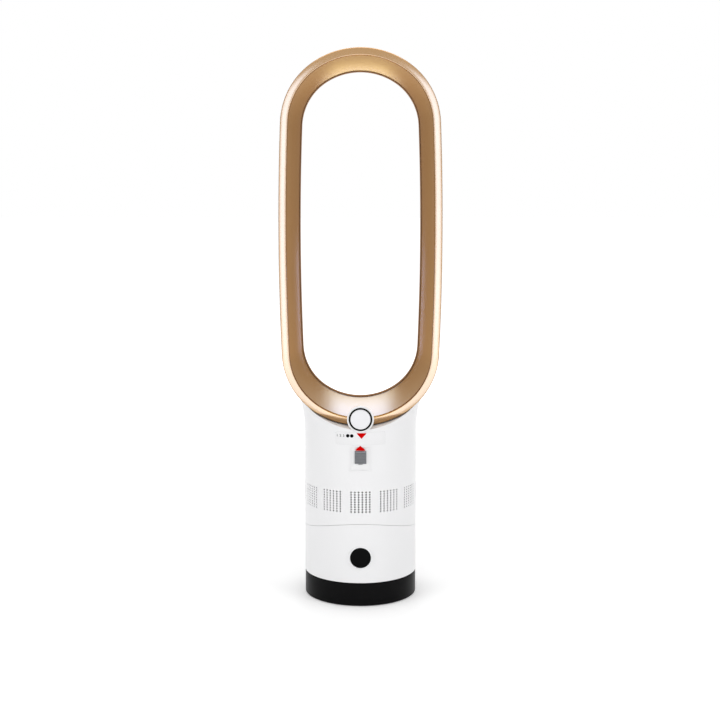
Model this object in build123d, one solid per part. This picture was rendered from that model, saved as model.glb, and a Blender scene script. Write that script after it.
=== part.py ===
"""Bladeless floor fan with a tall hollow loop on a round, perforated body.

Millimetres, +Z up, the front faces -Y. The origin is on the floor, at the centre of the base.
The base stands still. The lower housing swivels on it about Z, the upper housing tilts on the
lower one about a line along X, and the fan wheel spins about Z inside the upper housing.
"""

from build123d import *
from math import asin, atan2, cos, degrees, hypot, pi, radians, sin, sqrt, tan
import os

os.makedirs("parts", exist_ok=True)

# ---------------------------------------------------------------- driving dimensions
# Clearances
running_gap = 0.3  # between bodies that move past each other
fit_gap = 0.1  # between fixed pieces that sit in one another
press_gap = 0.02  # round a piece pressed onto another
button_gap = 0.35  # round a button in its bezel

# Base
base_step = 0.2  # the black skirt stands in this far from the white body
base_height = 30.0  # top of the black skirt above the floor
skirt_wall = 3.0
skirt_flange_width = 11.0
skirt_flange_thickness = 2.5
skirt_lift = 0.8  # open line between the skirt and the floor
skirt_edge = 0.8
foot_height = 4.0
foot_radius = 7.5
foot_edge = 1.0
foot_inset = 17.0  # from the skirt's outside to the pads' centres
foot_count = 5
base_plate_thickness = 3.0
ballast_thickness = 4.0
ballast_inner_radius = 40.0
ballast_margin = 8.0  # from the skirt's inside to the ballast ring
screw_inset = 20.0
screw_radius = 2.0
screw_head_radius = 3.6
screw_head_height = 2.0
screw_length = 7.0
plate_rib_thickness = 2.4
plate_rib_count = 6
plate_rib_drop = 2.0  # below the fixed gear
cable_bore_margin = 6.0  # width of the boss round the post

# Mains inlet at the rear of the base
inlet_width = 22.0
inlet_height = 12.0
inlet_length = 20.0
inlet_centre = 20.0
inlet_corner = 4.0
inlet_pin_radius = 1.6
inlet_pin_spacing = 8.6
inlet_pin_length = 9.0
inlet_well = 12.0
inlet_wall = 2.0
inlet_well_height = 6.4

# Swivel
swivel_gap = 1.0  # open line between skirt and lower housing
glide_ring_height = 1.4
glide_ring_width = 5.0
glide_ring_inset = 2.0
turntable_thickness = 3.3
turntable_rib_thickness = 2.0
turntable_rib_height = 3.0
turntable_rib_inset = 4.0  # from the retaining ring
turntable_rib_margin = 6.0  # from the housing
turntable_rib_angles = (60, 120, 240, 300)
post_radius = 13.6
post_bore = 10.0
retainer_radius = 20.0
retainer_thickness = 3.0
retainer_notches = 6
retainer_notch_width = 4.0
retainer_notch_depth = 2.5
post_end = 2.0  # above its retaining ring
gear_module = 1.25
sun_teeth = 40
pinion_teeth = 12
tooth_height = 0.95  # above the pitch circle, in modules
tooth_depth = 1.2  # below it
tooth_slope = 20.0  # degrees
pinion_hole_margin = 2.0
gear_backlash = 0.35  # taken off the width of each tooth
gear_thickness = 7.0
pinion_shaft_radius = 2.5
gear_motor_radius = 17.0
gear_motor_height = 16.0
gear_motor_offset = 6.5
gear_motor_ear_width = 7.0
gear_motor_ear_length = 5.0
gear_motor_ear_thickness = 2.0

# Housings
body_radius = 72.5
housing_wall = 2.6
body_flare = 3.8  # how much wider the body is at its very top
flare_height = 55.0  # the body flares over this height below its top
saddle_height = 33.0  # how far the body rises beside the loop's lower end

# Tilt saddle
tilt_radius = 190.0
tilt_seam_height = 92.7  # lowest line of the saddle, at the sides
tilt_gap = 0.35
tilt_deck_thickness = 3.0
tilt_travel = 10.0  # degrees each way
guide_stem_width = 17.0
guide_stem_half_length = 12.0
guide_flange_width = 32.0
guide_flange_thickness = 3.0
guide_slot_margin = 1.5
guide_slot_reach = 20.0  # half the height of the cut that opens the slot

# Loop
loop_width = 204.0
loop_height = 468.0
loop_bottom = 229.0
loop_depth = 104.0
loop_end_flatness = 1.03  # radius at the top and bottom of the outline over half the width
loop_shoulder_ratio = 0.90
loop_side_ratio = 34.0
loop_wall = 2.2
loop_section_width = 24.0  # outline to the lip of the air slit
rim_inset = 0.7  # the trim stands in a little from the outer wall
rim_width = 9.2
rim_depth = 8.0
rim_thickness = 2.6
rim_bevel = 0.9
rim_slope = 3.6  # its outer edge stands this far behind its inner one
rear_nose_radius = 15.0
slit_gap = 1.2
slit_lip_length = 8.5
slit_lip_wall = 1.3
liner_wall = 2.0
liner_crown = 1.6  # how far the air-guiding wall bows into the opening
spacer_length = 4.0
spacer_width = 2.4
spacer_pitch = 90.0
spacer_setback = 1.2  # behind the edge of the lip
seat_gap = 0.6  # between the loop and the saddle of the body that it stands in

# Neck that carries the air up into the loop
neck_length = 72.0
neck_breadth = 52.0
neck_corner = 20.0
neck_wall = 2.2
neck_spigot_radius = 43.5
neck_spigot_height = 6.0
neck_spigot_depth = 4.0  # how deep the spigot sits in the duct
neck_shoulder_drop = 5.0  # below the loop's lowest line
neck_rise = 11.0  # above that line
neck_hole_margin = 4.0

# Intake grille
grille_panels = 12
grille_columns = 6
grille_rows = 9
grille_column_pitch = 3.75  # degrees
grille_row_pitch = 3.16
grille_hole = 1.9
grille_lift = 30.4  # lowest row of holes above the saddle's lowest line
ladder_thickness = 1.5
ladder_margin = 2.4

# Fan unit
duct_inlet_radius = 31.0
duct_outlet_radius = 46.0
duct_wall = 2.0
duct_drop = 25.0  # top of the duct below the loop's lowest line
duct_height = 52.0
duct_throat_height = 6.0
duct_cone_height = 28.0
duct_bell_radius = 6.0
partition_thickness = 2.4
partition_lift = 8.0  # above the duct's lower edge
collar_height = 7.0
mount_ring_width = 1.6
impeller_lift = 2.0
impeller_height = 23.0
impeller_rim_height = 3.0
impeller_root_radius = 3.0
impeller_cavity_depth = 8.0
impeller_nose_radius = 7.0
impeller_hub_radius = 24.0
impeller_tip_gap = 0.9
impeller_blades = 9
impeller_blade = 1.3
impeller_blade_start = 5.0
impeller_twist = 34.0
bucket_radius = 25.0
bucket_wall = 1.8
bucket_gap = 1.2  # between the wheel and the motor cup
bucket_drop = 3.0  # top of the cup below the top of the duct
bucket_taper = 0.72  # the cup's top radius over its full one
bucket_dome = 7.0
vane_count = 9
vane_thickness = 1.5
vane_twist = 24.0
shaft_radius = 2.5
shaft_inset = 4.0  # its lower end above the wheel's lower face
shaft_end_gap = 0.4
bearing_radius = 6.5
bearing_height = 3.5
bearing_clearance = 0.05
rotor_radius = 9.5
stator_lift = 4.4
stator_height = 9.5
stator_rim = 3.0
stator_teeth = 9
stator_tooth_width = 3.2
stator_shoe_width = 5.6
stator_shoe_depth = 1.8
stator_coil_width = 6.0
stator_coil_inset = 0.8

# Controls
pod_rise = 13.0  # its centre above the loop's lowest line
pod_radius = 17.0
pod_taper = 4.0
pod_proud = 2.5  # its face in front of the body
pod_wall = 2.0
trim_proud = 0.8
mode_cap_proud = 1.2
button_stem_radius = 3.0
trim_outer_radius = 14.8
trim_inner_radius = 12.7
trim_depth = 4.0
mode_cap_depth = 3.8
mode_travel = 1.0
mode_cap_edge = 0.6  # how far its face falls back
mode_cap_slope = 1.6  # over this width
power_height = 63.8
power_radius = 13.3
power_bezel_width = 1.7
power_travel = 1.5
power_cap_depth = 6.0
power_cap_edge = 0.5
switch_size = 6.0
switch_depth = 4.0
bracket_sheet = 2.0
bracket_foot = 10.0
window_width = 63.0
window_height = 16.6
window_drop = 24.9  # its centre below the pod's
window_thickness = 1.2
window_corner = 3.0
display_half_length = 24.0
display_height = 10.0
board_thickness = 1.6
slider_width = 14.5
slider_height = 16.4
slider_inset = 6.7  # its upper edge below the tray's
slider_travel = 6.0
slider_rise = 2.2
track_width = 28.0
track_height = 33.0
track_land = 0.8  # between the window and the tray
track_depth = 2.0
track_corner = 3.0
track_wall = 2.0
track_margin = 1.6
slider_groove = 0.9
slider_grooves = 6
stem_width = 5.0
stem_height = 6.0
slider_plate = 2.0
switch_plunger = 2.5
switch_slack = 0.3
power_cap_proud = 0.5
power_stem_length = 3.0
power_bezel_proud = 0.6

# Circuit boards
board_length = 52.0
board_width = 34.0
board_edge = 13.9  # between the board and the housing's inside
board_standoff = 6.0
board_foot_radius = 2.2
board_foot_inset = 4.0
# Each part's size, its height, and its place from the board's centre
capacitors = ((6.0, 16.0, 5.0, 14.0), (4.0, 11.0, -9.0, 8.0))  # radius, height, x, y
transformer = (16.0, 16.0, 12.0, -3.0, -12.0)  # width, length, height, x, y
heat_sink = (5.0, 20.0, 7.0, 11.5, -8.0)

# ---------------------------------------------------------------- sizes that follow
base_radius = body_radius - base_step
foot_circle = base_radius - foot_inset
screw_circle = base_radius - screw_inset
ballast_outer_radius = base_radius - skirt_wall - ballast_margin
loop_half_width = loop_width / 2
loop_centre = loop_bottom + loop_height / 2
loop_front = -loop_depth / 2
loop_rear = loop_depth / 2
tilt_axis_height = tilt_seam_height + tilt_radius
lower_bottom = base_height + swivel_gap
turntable_bottom = base_height + glide_ring_height + running_gap
turntable_top = turntable_bottom + turntable_thickness
base_plate_top = foot_height + base_plate_thickness
gear_centre_distance = gear_module * (sun_teeth + pinion_teeth) / 2
gear_bottom = turntable_bottom - running_gap * 3 - gear_thickness
body_inner = body_radius - housing_wall
body_top = loop_bottom + saddle_height
flare_start = body_top - flare_height
grille_bottom_row = tilt_seam_height + grille_lift

neck_shoulder = loop_bottom - neck_shoulder_drop
neck_top = loop_bottom + neck_rise
duct_top = loop_bottom - duct_drop
duct_bottom = duct_top - duct_height
duct_cone_top = duct_bottom + duct_cone_height
neck_spigot_bottom = duct_top - neck_spigot_depth
partition_height = duct_bottom + partition_lift
impeller_bottom = duct_bottom + impeller_lift
impeller_top = impeller_bottom + impeller_height
bucket_bottom = impeller_top + bucket_gap
bucket_top = duct_top - bucket_drop
shaft_bottom = impeller_bottom + shaft_inset
shaft_top = bucket_top - shaft_end_gap
stator_bottom = bucket_bottom + stator_lift

pod_height = loop_bottom + pod_rise
pod_front = body_radius + pod_proud
pod_back = loop_depth / 2 + seat_gap
window_centre = pod_height - window_drop
track_top = window_centre - window_height / 2 - track_land
track_bottom = track_top - track_height
slider_top = track_top - slider_inset

Z_AXIS = Axis((0, 0, 0), (0, 0, 1))
TILT_AXIS = Axis((0, 0, tilt_axis_height), (1, 0, 0))


# ---------------------------------------------------------------- helpers
def tube(outer, inner, bottom, top, at=(0, 0)):
    """A plain ring or sleeve about a vertical line."""
    ring = Circle(outer) - Circle(inner)
    return Pos(at[0], at[1], bottom) * extrude(ring, top - bottom)


def disc(radius, bottom, top, at=(0, 0)):
    return Pos(at[0], at[1], bottom) * extrude(Circle(radius), top - bottom)


def block(x0, x1, y0, y1, z0, z1):
    """A box given by its two corners."""
    centre = Pos((x0 + x1) / 2, (y0 + y1) / 2, (z0 + z1) / 2)
    return centre * Box(x1 - x0, y1 - y0, z1 - z0)


def turned(points):
    """A solid turned about Z from corners given as (radius, height)."""
    face = make_face(Polyline([Vector(r, 0, z) for r, z in points], close=True))
    return revolve(face, Z_AXIS)


def around(shape, count, start=0.0, step=None):
    """Copies of a shape turned about Z."""
    step = 360 / count if step is None else step
    return [Rot(0, 0, start + i * step) * shape for i in range(count)]


def fused(first, others):
    return first.fuse(*others)


def save(name, shape):
    """Writes one piece, or a group of equal pieces, as one node."""
    solids = shape.solids() if hasattr(shape, "solids") else [s for p in shape for s in p.solids()]
    export_step(solids[0] if len(solids) == 1 else Compound(children=list(solids)), f"parts/{name}.step")
    print(name, len(solids), round(sum(s.volume for s in solids)))


# ---------------------------------------------------------------- the loop's outline
def outline_arcs():
    """The barrel-shaped outline as eight tangent arcs: centre x and z, radius, start and sweep."""
    apex = loop_end_flatness * loop_half_width
    shoulder = loop_shoulder_ratio * loop_half_width
    side = loop_side_ratio * loop_half_width
    apex_z = loop_height / 2 - apex
    side_x = loop_half_width - side
    # The shoulder's centre is (apex - shoulder) from the end's centre and (side - shoulder)
    # from the side's centre.
    reach = hypot(side_x, apex_z)
    along = ((apex - shoulder) ** 2 - (side - shoulder) ** 2 + reach**2) / (2 * reach)
    off = sqrt((apex - shoulder) ** 2 - along**2)
    to_side = Vector(side_x, -apex_z) / reach
    across = Vector(-to_side.Y, to_side.X)
    centre = Vector(0, apex_z) + to_side * along - across * off
    top_angle = degrees(atan2(centre.Y - apex_z, centre.X))
    side_angle = degrees(atan2(centre.Y, centre.X - side_x))
    bend = top_angle - side_angle
    arcs = []
    for turn, flip in ((0, 1), (180, -1)):
        arcs.append((flip * side_x, 0, side, turn - side_angle, 2 * side_angle))
        arcs.append((flip * centre.X, flip * centre.Y, shoulder, turn + side_angle, bend))
        arcs.append((0, flip * apex_z, apex, turn + top_angle, 180 - 2 * top_angle))
        arcs.append((-flip * centre.X, flip * centre.Y, shoulder, turn + 180 - top_angle, bend))
    return [(x, z + loop_centre, r, a, s) for x, z, r, a, s in arcs]


def swept_round(section, arcs=None, start=0.0, share=None):
    """Turns a section round the outline. Its x is the distance inwards from it, its y is depth."""
    pieces = []
    for x, z, radius, angle, sweep in arcs or outline_arcs():
        begin = angle + start
        turn = sweep if share is None else share
        out = Vector(cos(radians(begin)), 0, sin(radians(begin)))
        plane = Plane(
            origin=Vector(x, 0, z) + out * radius,
            x_dir=-out,
            z_dir=Vector(sin(radians(begin)), 0, -cos(radians(begin))),
        )
        pieces.append(revolve(plane * section, Axis((x, 0, z), (0, -1, 0)), turn))
    return pieces


def loop_ring(section, hole=None):
    """A closed ring with this section; a hole is cut from each arc's piece before they are joined."""
    pieces = swept_round(section)
    if hole:
        pieces = [piece - hole for piece in pieces]
    return pieces[0].fuse(*pieces[1:])


def outline_face(grow=0.0):
    """The area inside the loop's outline, grown by a distance, as a face in the XZ plane."""
    edges = []
    for x, z, radius, angle, sweep in outline_arcs():
        reach = radius + grow
        turns = [radians(angle + share * sweep) for share in (0, 0.5, 1)]
        edges.append(ThreePointArc(*[(x + reach * cos(t), 0, z + reach * sin(t)) for t in turns]))
    return make_face(edges)


def outline_prism(grow, front, rear):
    """The area inside the outline carried through the depth."""
    return Pos(0, front, 0) * extrude(outline_face(grow), rear - front, dir=(0, 1, 0))


# ---------------------------------------------------------------- loop pieces
def shell_section():
    """Outer wall, rounded rear edge and the lip that guides the air forward."""
    width, wall, rear = loop_section_width, loop_wall, loop_rear
    lip_inner = width - slit_lip_wall
    front = loop_front + rim_depth
    nose = rear_nose_radius
    small = width - nose
    small_inside = small - (wall + slit_lip_wall) / 2
    lip = lip_reach()

    def corner(start, end, centre, radius):
        """A quarter circle between two points, bowed away from its centre."""
        middle = (Vector(*start) + Vector(*end)) / 2 - Vector(*centre)
        return ThreePointArc(start, Vector(*centre) + middle.normalized() * radius, end)

    nose_centre, lip_centre = (nose, rear - nose), (nose, rear - small)
    outside = [
        Line((0, front), (0, rear - nose)),
        corner((0, rear - nose), (nose, rear), nose_centre, nose),
        corner((nose, rear), (width, rear - small), lip_centre, small),
        Line((width, rear - small), (width, lip)),
    ]
    inside = [
        Line((lip_inner, lip), (lip_inner, rear - small)),
        corner((lip_inner, rear - small), (nose, rear - wall), lip_centre, small_inside),
        corner((nose, rear - wall), (wall, rear - nose), nose_centre, nose - wall),
        Line((wall, rear - nose), (wall, front)),
    ]
    ends = [Line((width, lip), (lip_inner, lip)), Line((wall, front), (0, front))]
    return make_face([*outside, *inside, *ends])


def lip_reach():
    """Depth at which the slit's lip ends."""
    return loop_rear - (loop_section_width - rear_nose_radius) - slit_lip_length


def liner_surface():
    """Distance of the air-guiding wall from the outline where it passes under the lip."""
    return loop_section_width - slit_lip_wall - slit_gap


def make_loop_shell():
    return loop_ring(shell_section(), neck_hole())


def liner_section():
    rear = lip_reach() + slit_lip_length * 0.6
    land = lip_reach() - 1
    surface = liner_surface()
    front = loop_front + rim_depth
    rim_inner = rim_inset + rim_width
    middle = (surface + rim_inner) / 2 + liner_crown
    under = surface - liner_wall
    half_way = (land + front) / 2
    bore = ThreePointArc((surface, land), (middle, half_way), (rim_inner, front))
    back = ThreePointArc((under, land), (middle - liner_wall, half_way), (rim_inner - liner_wall, front))
    rear_edge = Polyline((under, land), (under, rear), (surface, rear), (surface, land))
    front_edge = Line((rim_inner, front), (rim_inner - liner_wall, front))
    return make_face([bore, front_edge, back, *rear_edge.edges()])


def rim_section():
    """The bright trim: it slopes back to its outer edge and closes the hollow loop at the front."""
    outer = rim_inset
    inner = rim_inset + rim_width
    seat = loop_front + rim_depth
    back = loop_front + rim_thickness
    points = [
        (outer, seat),
        (outer, loop_front + rim_slope + rim_bevel),
        (outer + rim_bevel, loop_front + rim_slope),
        (inner - rim_bevel, loop_front),
        (inner, loop_front + rim_bevel),
        (inner, seat),
        (inner - liner_wall, seat),
        (inner - liner_wall, back),
        (loop_wall, back + rim_slope),
        (loop_wall, seat),
    ]
    return make_face(Polyline(points, close=True))


def make_slit_spacers():
    """Small lugs that hold the air slit open."""
    rear = lip_reach() + spacer_setback + spacer_length
    top = rear - spacer_length
    near = liner_surface()
    far = near + slit_gap
    section = make_face(Polyline((near, top), (far, top), (far, rear), (near, rear), close=True))
    lugs = []
    for arc in outline_arcs():
        radius, sweep = arc[2], arc[4]
        run = radians(sweep) * radius
        count = max(1, round(run / spacer_pitch))
        turn = degrees(spacer_width / radius)
        for i in range(count):
            start = sweep * (i + 0.5) / count - turn / 2
            lugs += swept_round(section, [arc], start, turn)
    return lugs


# ---------------------------------------------------------------- neck
def neck_face(shrink):
    return RectangleRounded(neck_length - 2 * shrink, neck_breadth - 2 * shrink, neck_corner - shrink)


def neck_body(shrink):
    spigot = Circle(neck_spigot_radius - shrink)
    low = Pos(0, 0, neck_spigot_bottom) * extrude(spigot, neck_spigot_height)
    shoulder = loft(
        [
            Pos(0, 0, neck_spigot_bottom + neck_spigot_height) * spigot,
            Pos(0, 0, neck_shoulder) * neck_face(shrink),
        ]
    )
    high = Pos(0, 0, neck_shoulder) * extrude(neck_face(shrink), neck_top - neck_shoulder)
    return low.fuse(shoulder, high)


def neck_hole(gap=fit_gap):
    """What the neck takes out of the loop's bottom wall and of the body's saddle."""
    low, high = neck_shoulder - neck_hole_margin, neck_top + neck_hole_margin
    return Pos(0, 0, low) * extrude(neck_face(-gap), high - low)


def make_loop_neck():
    return neck_body(0) - neck_body(neck_wall)


def make_neck_seal():
    outer = duct_outlet_radius
    return tube(outer - fit_gap, neck_spigot_radius + fit_gap, neck_spigot_bottom, duct_top)


# ---------------------------------------------------------------- housings
def body_solid(inset):
    """The body's outside, or its inside when inset by the wall."""
    radius = body_radius - inset
    widest = radius + body_flare
    side = Polyline((radius, 0, lower_bottom), (radius, 0, flare_start))
    bend = (flare_height**2 + body_flare**2) / (2 * body_flare)
    half = asin(flare_height / bend) / 2
    flare = ThreePointArc(
        (radius, 0, flare_start),
        (radius + bend * (1 - cos(half)), 0, flare_start + bend * sin(half)),
        (widest, 0, body_top),
    )
    close = Polyline((widest, 0, body_top), (0, 0, body_top), (0, 0, lower_bottom), (radius, 0, lower_bottom))
    return revolve(make_face([*side.edges(), flare, *close.edges()]), Z_AXIS)


def tilt_cylinder(radius):
    """Everything nearer than a radius to the tilt line."""
    length = 4 * body_radius
    return Pos(0, 0, tilt_axis_height) * Rot(0, 90, 0) * Cylinder(radius, length)


def make_lower_housing():
    outside = body_solid(0) - tilt_cylinder(tilt_radius)
    inside = body_solid(housing_wall) - tilt_cylinder(tilt_radius + tilt_deck_thickness)
    shell = outside - inside
    travel = radians(tilt_travel) * tilt_radius
    slot_half = guide_stem_half_length + travel + guide_slot_margin
    wide = guide_stem_width / 2 + running_gap
    low, high = tilt_seam_height - guide_slot_reach, tilt_seam_height + guide_slot_reach
    slot = block(-wide, wide, -slot_half, slot_half, low, high)
    hole = front_bore(power_radius + power_bezel_width + fit_gap, power_height)
    shell -= slot
    return shell - hole


def front_bore(radius, height, depth=40.0):
    """A round hole through the front wall."""
    return Pos(0, -body_radius, height) * Rot(90, 0, 0) * Cylinder(radius, depth)


def make_upper_housing():
    above_seam = tilt_cylinder(tilt_radius - tilt_gap)
    outside = body_solid(0) & above_seam
    saddle = outline_prism(seat_gap, -2 * body_radius, 2 * body_radius)
    under_saddle = outline_prism(seat_gap + housing_wall, -2 * body_radius, 2 * body_radius)
    inside = body_solid(housing_wall) - under_saddle
    shell = outside - saddle - inside
    shell -= neck_hole()
    shell -= pod_solid(-fit_gap)
    shell -= window_solid(fit_gap, fit_gap, fit_gap / 2)
    shell -= track_pocket(fit_gap)
    return shell - Compound(children=grille_slots())


def grille_slots():
    """One upright slot for each column of holes; the ladders behind divide it into holes."""
    height = (grille_rows - 1) * grille_row_pitch + grille_hole
    bottom = grille_bottom_row - grille_hole / 2
    slot = block(body_radius - 8, body_radius + 4, -grille_hole / 2, grille_hole / 2, bottom, bottom + height)
    slots = []
    for panel in range(grille_panels):
        for column in range(grille_columns):
            offset_angle = (column - (grille_columns - 1) / 2) * grille_column_pitch
            slots.append(Rot(0, 0, -90 + panel * 360 / grille_panels + offset_angle) * slot)
    return slots


def make_grille_ladders():
    """A flat ladder behind each panel of slots: its rungs stand between the rows of holes."""
    half_angle = grille_columns / 2 * grille_column_pitch
    half_width = body_inner * sin(radians(half_angle)) + ladder_margin
    outer = sqrt(body_inner**2 - half_width**2) - fit_gap
    rows_height = (grille_rows - 1) * grille_row_pitch + grille_hole
    bottom = grille_bottom_row - grille_hole / 2
    low, high = bottom - ladder_margin, bottom + rows_height + ladder_margin
    plate = block(outer - ladder_thickness, outer, -half_width, half_width, low, high)
    window = half_width - ladder_margin
    for row in range(grille_rows):
        low = bottom + row * grille_row_pitch
        plate -= block(outer - 2 * ladder_thickness, outer + 1, -window, window, low, low + grille_hole)
    return around(plate, grille_panels, start=-90)


def make_tilt_shoe():
    """Curved floor of the upper housing; it slides on the lower housing's saddle."""
    slide = tilt_radius - tilt_gap
    shell = tilt_cylinder(slide) - tilt_cylinder(slide - tilt_deck_thickness)
    radius = body_inner - fit_gap
    return shell & disc(radius, lower_bottom, tilt_seam_height + 40)


def make_tilt_guide():
    """T-shaped key under the shoe; its flange hooks below the saddle's slot."""
    top = tilt_radius - tilt_gap
    neck = tilt_radius + tilt_deck_thickness + running_gap
    bottom = neck + guide_flange_thickness
    stem, flange = guide_stem_width / 2, guide_flange_width / 2
    height = tilt_axis_height
    section = make_face(
        Polyline(
            *[
                Vector(x, 0, height - r)
                for x, r in (
                    (-stem, top),
                    (stem, top),
                    (stem, neck),
                    (flange, neck),
                    (flange, bottom),
                    (-flange, bottom),
                    (-flange, neck),
                    (-stem, neck),
                )
            ],
            close=True,
        )
    )
    half = degrees(guide_stem_half_length / tilt_radius)
    return revolve(section.rotate(TILT_AXIS, -half), TILT_AXIS, 2 * half)


# ---------------------------------------------------------------- base
def make_base_skirt():
    """Black skirt with an inward flange that the turntable runs on."""
    inner = base_radius - skirt_wall
    flange = base_radius - skirt_flange_width
    under = base_height - skirt_flange_thickness
    low, edge = skirt_lift, skirt_edge
    skirt = turned(
        [
            (inner, low),
            (base_radius - edge, low),
            (base_radius, low + edge),
            (base_radius, base_height - edge / 2),
            (base_radius - edge / 2, base_height),
            (flange, base_height),
            (flange, under),
            (inner, under),
        ]
    )
    return skirt - inlet_opening(fit_gap)


def screw_places():
    """The base plate's screws stand between its feet."""
    angles = [radians(90 + 360 / foot_count * (i + 0.5)) for i in range(foot_count)]
    return [(screw_circle * cos(a), screw_circle * sin(a)) for a in angles]


def make_base_plate():
    plate = disc(base_radius - skirt_wall - fit_gap, foot_height, base_plate_top)
    boss_radius = post_radius + cable_bore_margin
    half = plate_rib_thickness / 2
    rib_top = gear_bottom - plate_rib_drop
    rib = block(boss_radius - 2, ballast_inner_radius - 1, -half, half, base_plate_top, rib_top)
    boss = disc(boss_radius, base_plate_top, gear_bottom - fit_gap)
    plate = fused(plate, [boss, *around(rib, plate_rib_count, start=30)])
    plate -= disc(post_bore, 0, base_height)
    for x, y in screw_places():
        plate -= disc(screw_radius + fit_gap, 0, base_plate_top + 1, at=(x, y))
    return plate


def make_base_screws():
    """Pan-head screws that hold the ballast ring to the base plate from below."""
    screws = []
    for x, y in screw_places():
        head = disc(screw_head_radius, foot_height - screw_head_height, foot_height, at=(x, y))
        screws.append(head + disc(screw_radius, foot_height, foot_height + screw_length, at=(x, y)))
    return screws


def make_ballast():
    top = base_plate_top + ballast_thickness
    ring = tube(ballast_outer_radius, ballast_inner_radius, base_plate_top, top)
    for x, y in screw_places():
        ring -= disc(screw_radius + fit_gap, 0, base_height, at=(x, y))
    return ring


def make_feet():
    radius, edge, top = foot_radius, foot_edge, foot_height
    pad = turned([(0, 0), (radius - edge, 0), (radius, edge), (radius, top), (0, top)])
    return around(Pos(foot_circle, 0, 0) * pad, foot_count, start=90)


def make_glide_ring():
    outer = base_radius - skirt_wall - glide_ring_inset
    return tube(outer, outer - glide_ring_width, base_height, base_height + glide_ring_height)


def make_swivel_post():
    """Hollow post that carries the cable and centres the turntable."""
    top = turntable_top + running_gap + retainer_thickness + post_end
    return tube(post_radius, post_bore, gear_bottom - fit_gap, top)


def make_retainer():
    low = turntable_top + running_gap
    high = low + retainer_thickness
    ring = tube(retainer_radius, post_radius + press_gap, low, high)
    half = retainer_notch_width / 2
    notch = block(retainer_radius - retainer_notch_depth, retainer_radius + 1, -half, half, low - 1, high + 1)
    for cut in around(notch, retainer_notches):
        ring -= cut
    return ring


def gear_face(teeth, bore):
    """A spur gear outline: each tooth is a trapezium with involute-like slopes."""
    pitch = gear_module * teeth / 2
    tip = pitch + gear_module * tooth_height
    root = pitch - gear_module * tooth_depth
    step = 2 * pi / teeth
    half_pitch = step / 4 - gear_backlash / pitch / 2
    slope = tan(radians(tooth_slope))
    half_root = half_pitch + (pitch - root) * slope / root
    half_tip = half_pitch - (tip - pitch) * slope / tip
    corners = []
    for i in range(teeth):
        middle = i * step
        for radius, half in ((root, -half_root), (tip, -half_tip), (tip, half_tip), (root, half_root)):
            corners.append((radius * cos(middle + half), radius * sin(middle + half)))
    face = make_face(Polyline(corners, close=True))
    return face - Circle(bore) if bore else face


def make_sun_gear():
    """Fixed gear on the post; the pinion walks round it."""
    return Pos(0, 0, gear_bottom) * extrude(gear_face(sun_teeth, post_radius + press_gap), gear_thickness)


def make_pinion():
    """Small gear with its shaft; it meshes with the fixed gear at a gap between two teeth."""
    gear = Rot(0, 0, 180 - 180 / pinion_teeth) * gear_face(pinion_teeth, 0)
    wheel = Pos(gear_centre_distance, 0, gear_bottom) * extrude(gear, gear_thickness)
    return wheel + disc(pinion_shaft_radius, gear_bottom, turntable_top, at=(gear_centre_distance, 0))


def make_turntable():
    plate = disc(body_inner - fit_gap, turntable_bottom, turntable_top)
    plate -= disc(post_radius + running_gap, 0, 2 * turntable_top)
    clear = gear_module * (pinion_teeth / 2 + 1) + pinion_hole_margin
    plate -= disc(clear, 0, 2 * turntable_top, at=(gear_centre_distance, 0))
    near, far = retainer_radius + turntable_rib_inset, body_inner - turntable_rib_margin
    half, top = turntable_rib_thickness / 2, turntable_top + turntable_rib_height
    rib = block(near, far, -half, half, turntable_top, top)
    return fused(plate, [Rot(0, 0, angle) * rib for angle in turntable_rib_angles])


def make_swivel_motor():
    """Slow reversing gear motor; its output shaft is off centre and turns the pinion."""
    x = gear_centre_distance + gear_motor_offset
    shaft = (gear_centre_distance, 0)
    low = turntable_top
    can = disc(gear_motor_radius, low, low + gear_motor_height, at=(x, 0))
    collar = disc(2 * pinion_shaft_radius, turntable_bottom, low, at=shaft)
    bore = disc(pinion_shaft_radius + bearing_clearance, 0, low + 1, at=shaft)
    half, reach = gear_motor_ear_width / 2, gear_motor_radius + gear_motor_ear_length
    ears = block(x - half, x + half, -reach, reach, low, low + gear_motor_ear_thickness)
    return can + ears + collar - bore


# ---------------------------------------------------------------- mains inlet
def inlet_opening(gap):
    """Space that the socket takes in the skirt's rear wall."""
    face = RectangleRounded(inlet_width + 2 * gap, inlet_height + 2 * gap, inlet_corner)
    return Pos(0, base_radius + 5, inlet_centre) * Rot(90, 0, 0) * extrude(face, inlet_length + 5)


def make_mains_inlet():
    body = Pos(0, base_radius, inlet_centre) * Rot(90, 0, 0) * extrude(
        RectangleRounded(inlet_width, inlet_height, inlet_corner), inlet_length
    )
    body &= disc(base_radius, 0, base_height)
    lobe = Circle((inlet_height - 2 * inlet_wall) / 2)
    half = inlet_pin_spacing / 2
    well = Pos(half, 0) * lobe + Pos(-half, 0) * lobe + Rectangle(inlet_pin_spacing, inlet_well_height)
    return body - Pos(0, base_radius + 1, inlet_centre) * Rot(90, 0, 0) * extrude(well, inlet_well)


def make_inlet_pins():
    pins = []
    for side in (-1, 1):
        pin = Pos(side * inlet_pin_spacing / 2, base_radius + 1 - inlet_well, inlet_centre) * Rot(-90, 0, 0)
        pins.append(pin * extrude(Circle(inlet_pin_radius), inlet_pin_length))
    return pins


# ---------------------------------------------------------------- fan unit
def duct_radius(z):
    """Inside radius of the duct at a height."""
    throat = duct_bottom + duct_throat_height
    if z <= throat:
        return duct_inlet_radius
    if z >= duct_cone_top:
        return duct_outlet_radius
    share = (z - throat) / (duct_cone_top - throat)
    return duct_inlet_radius + share * (duct_outlet_radius - duct_inlet_radius)


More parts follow.
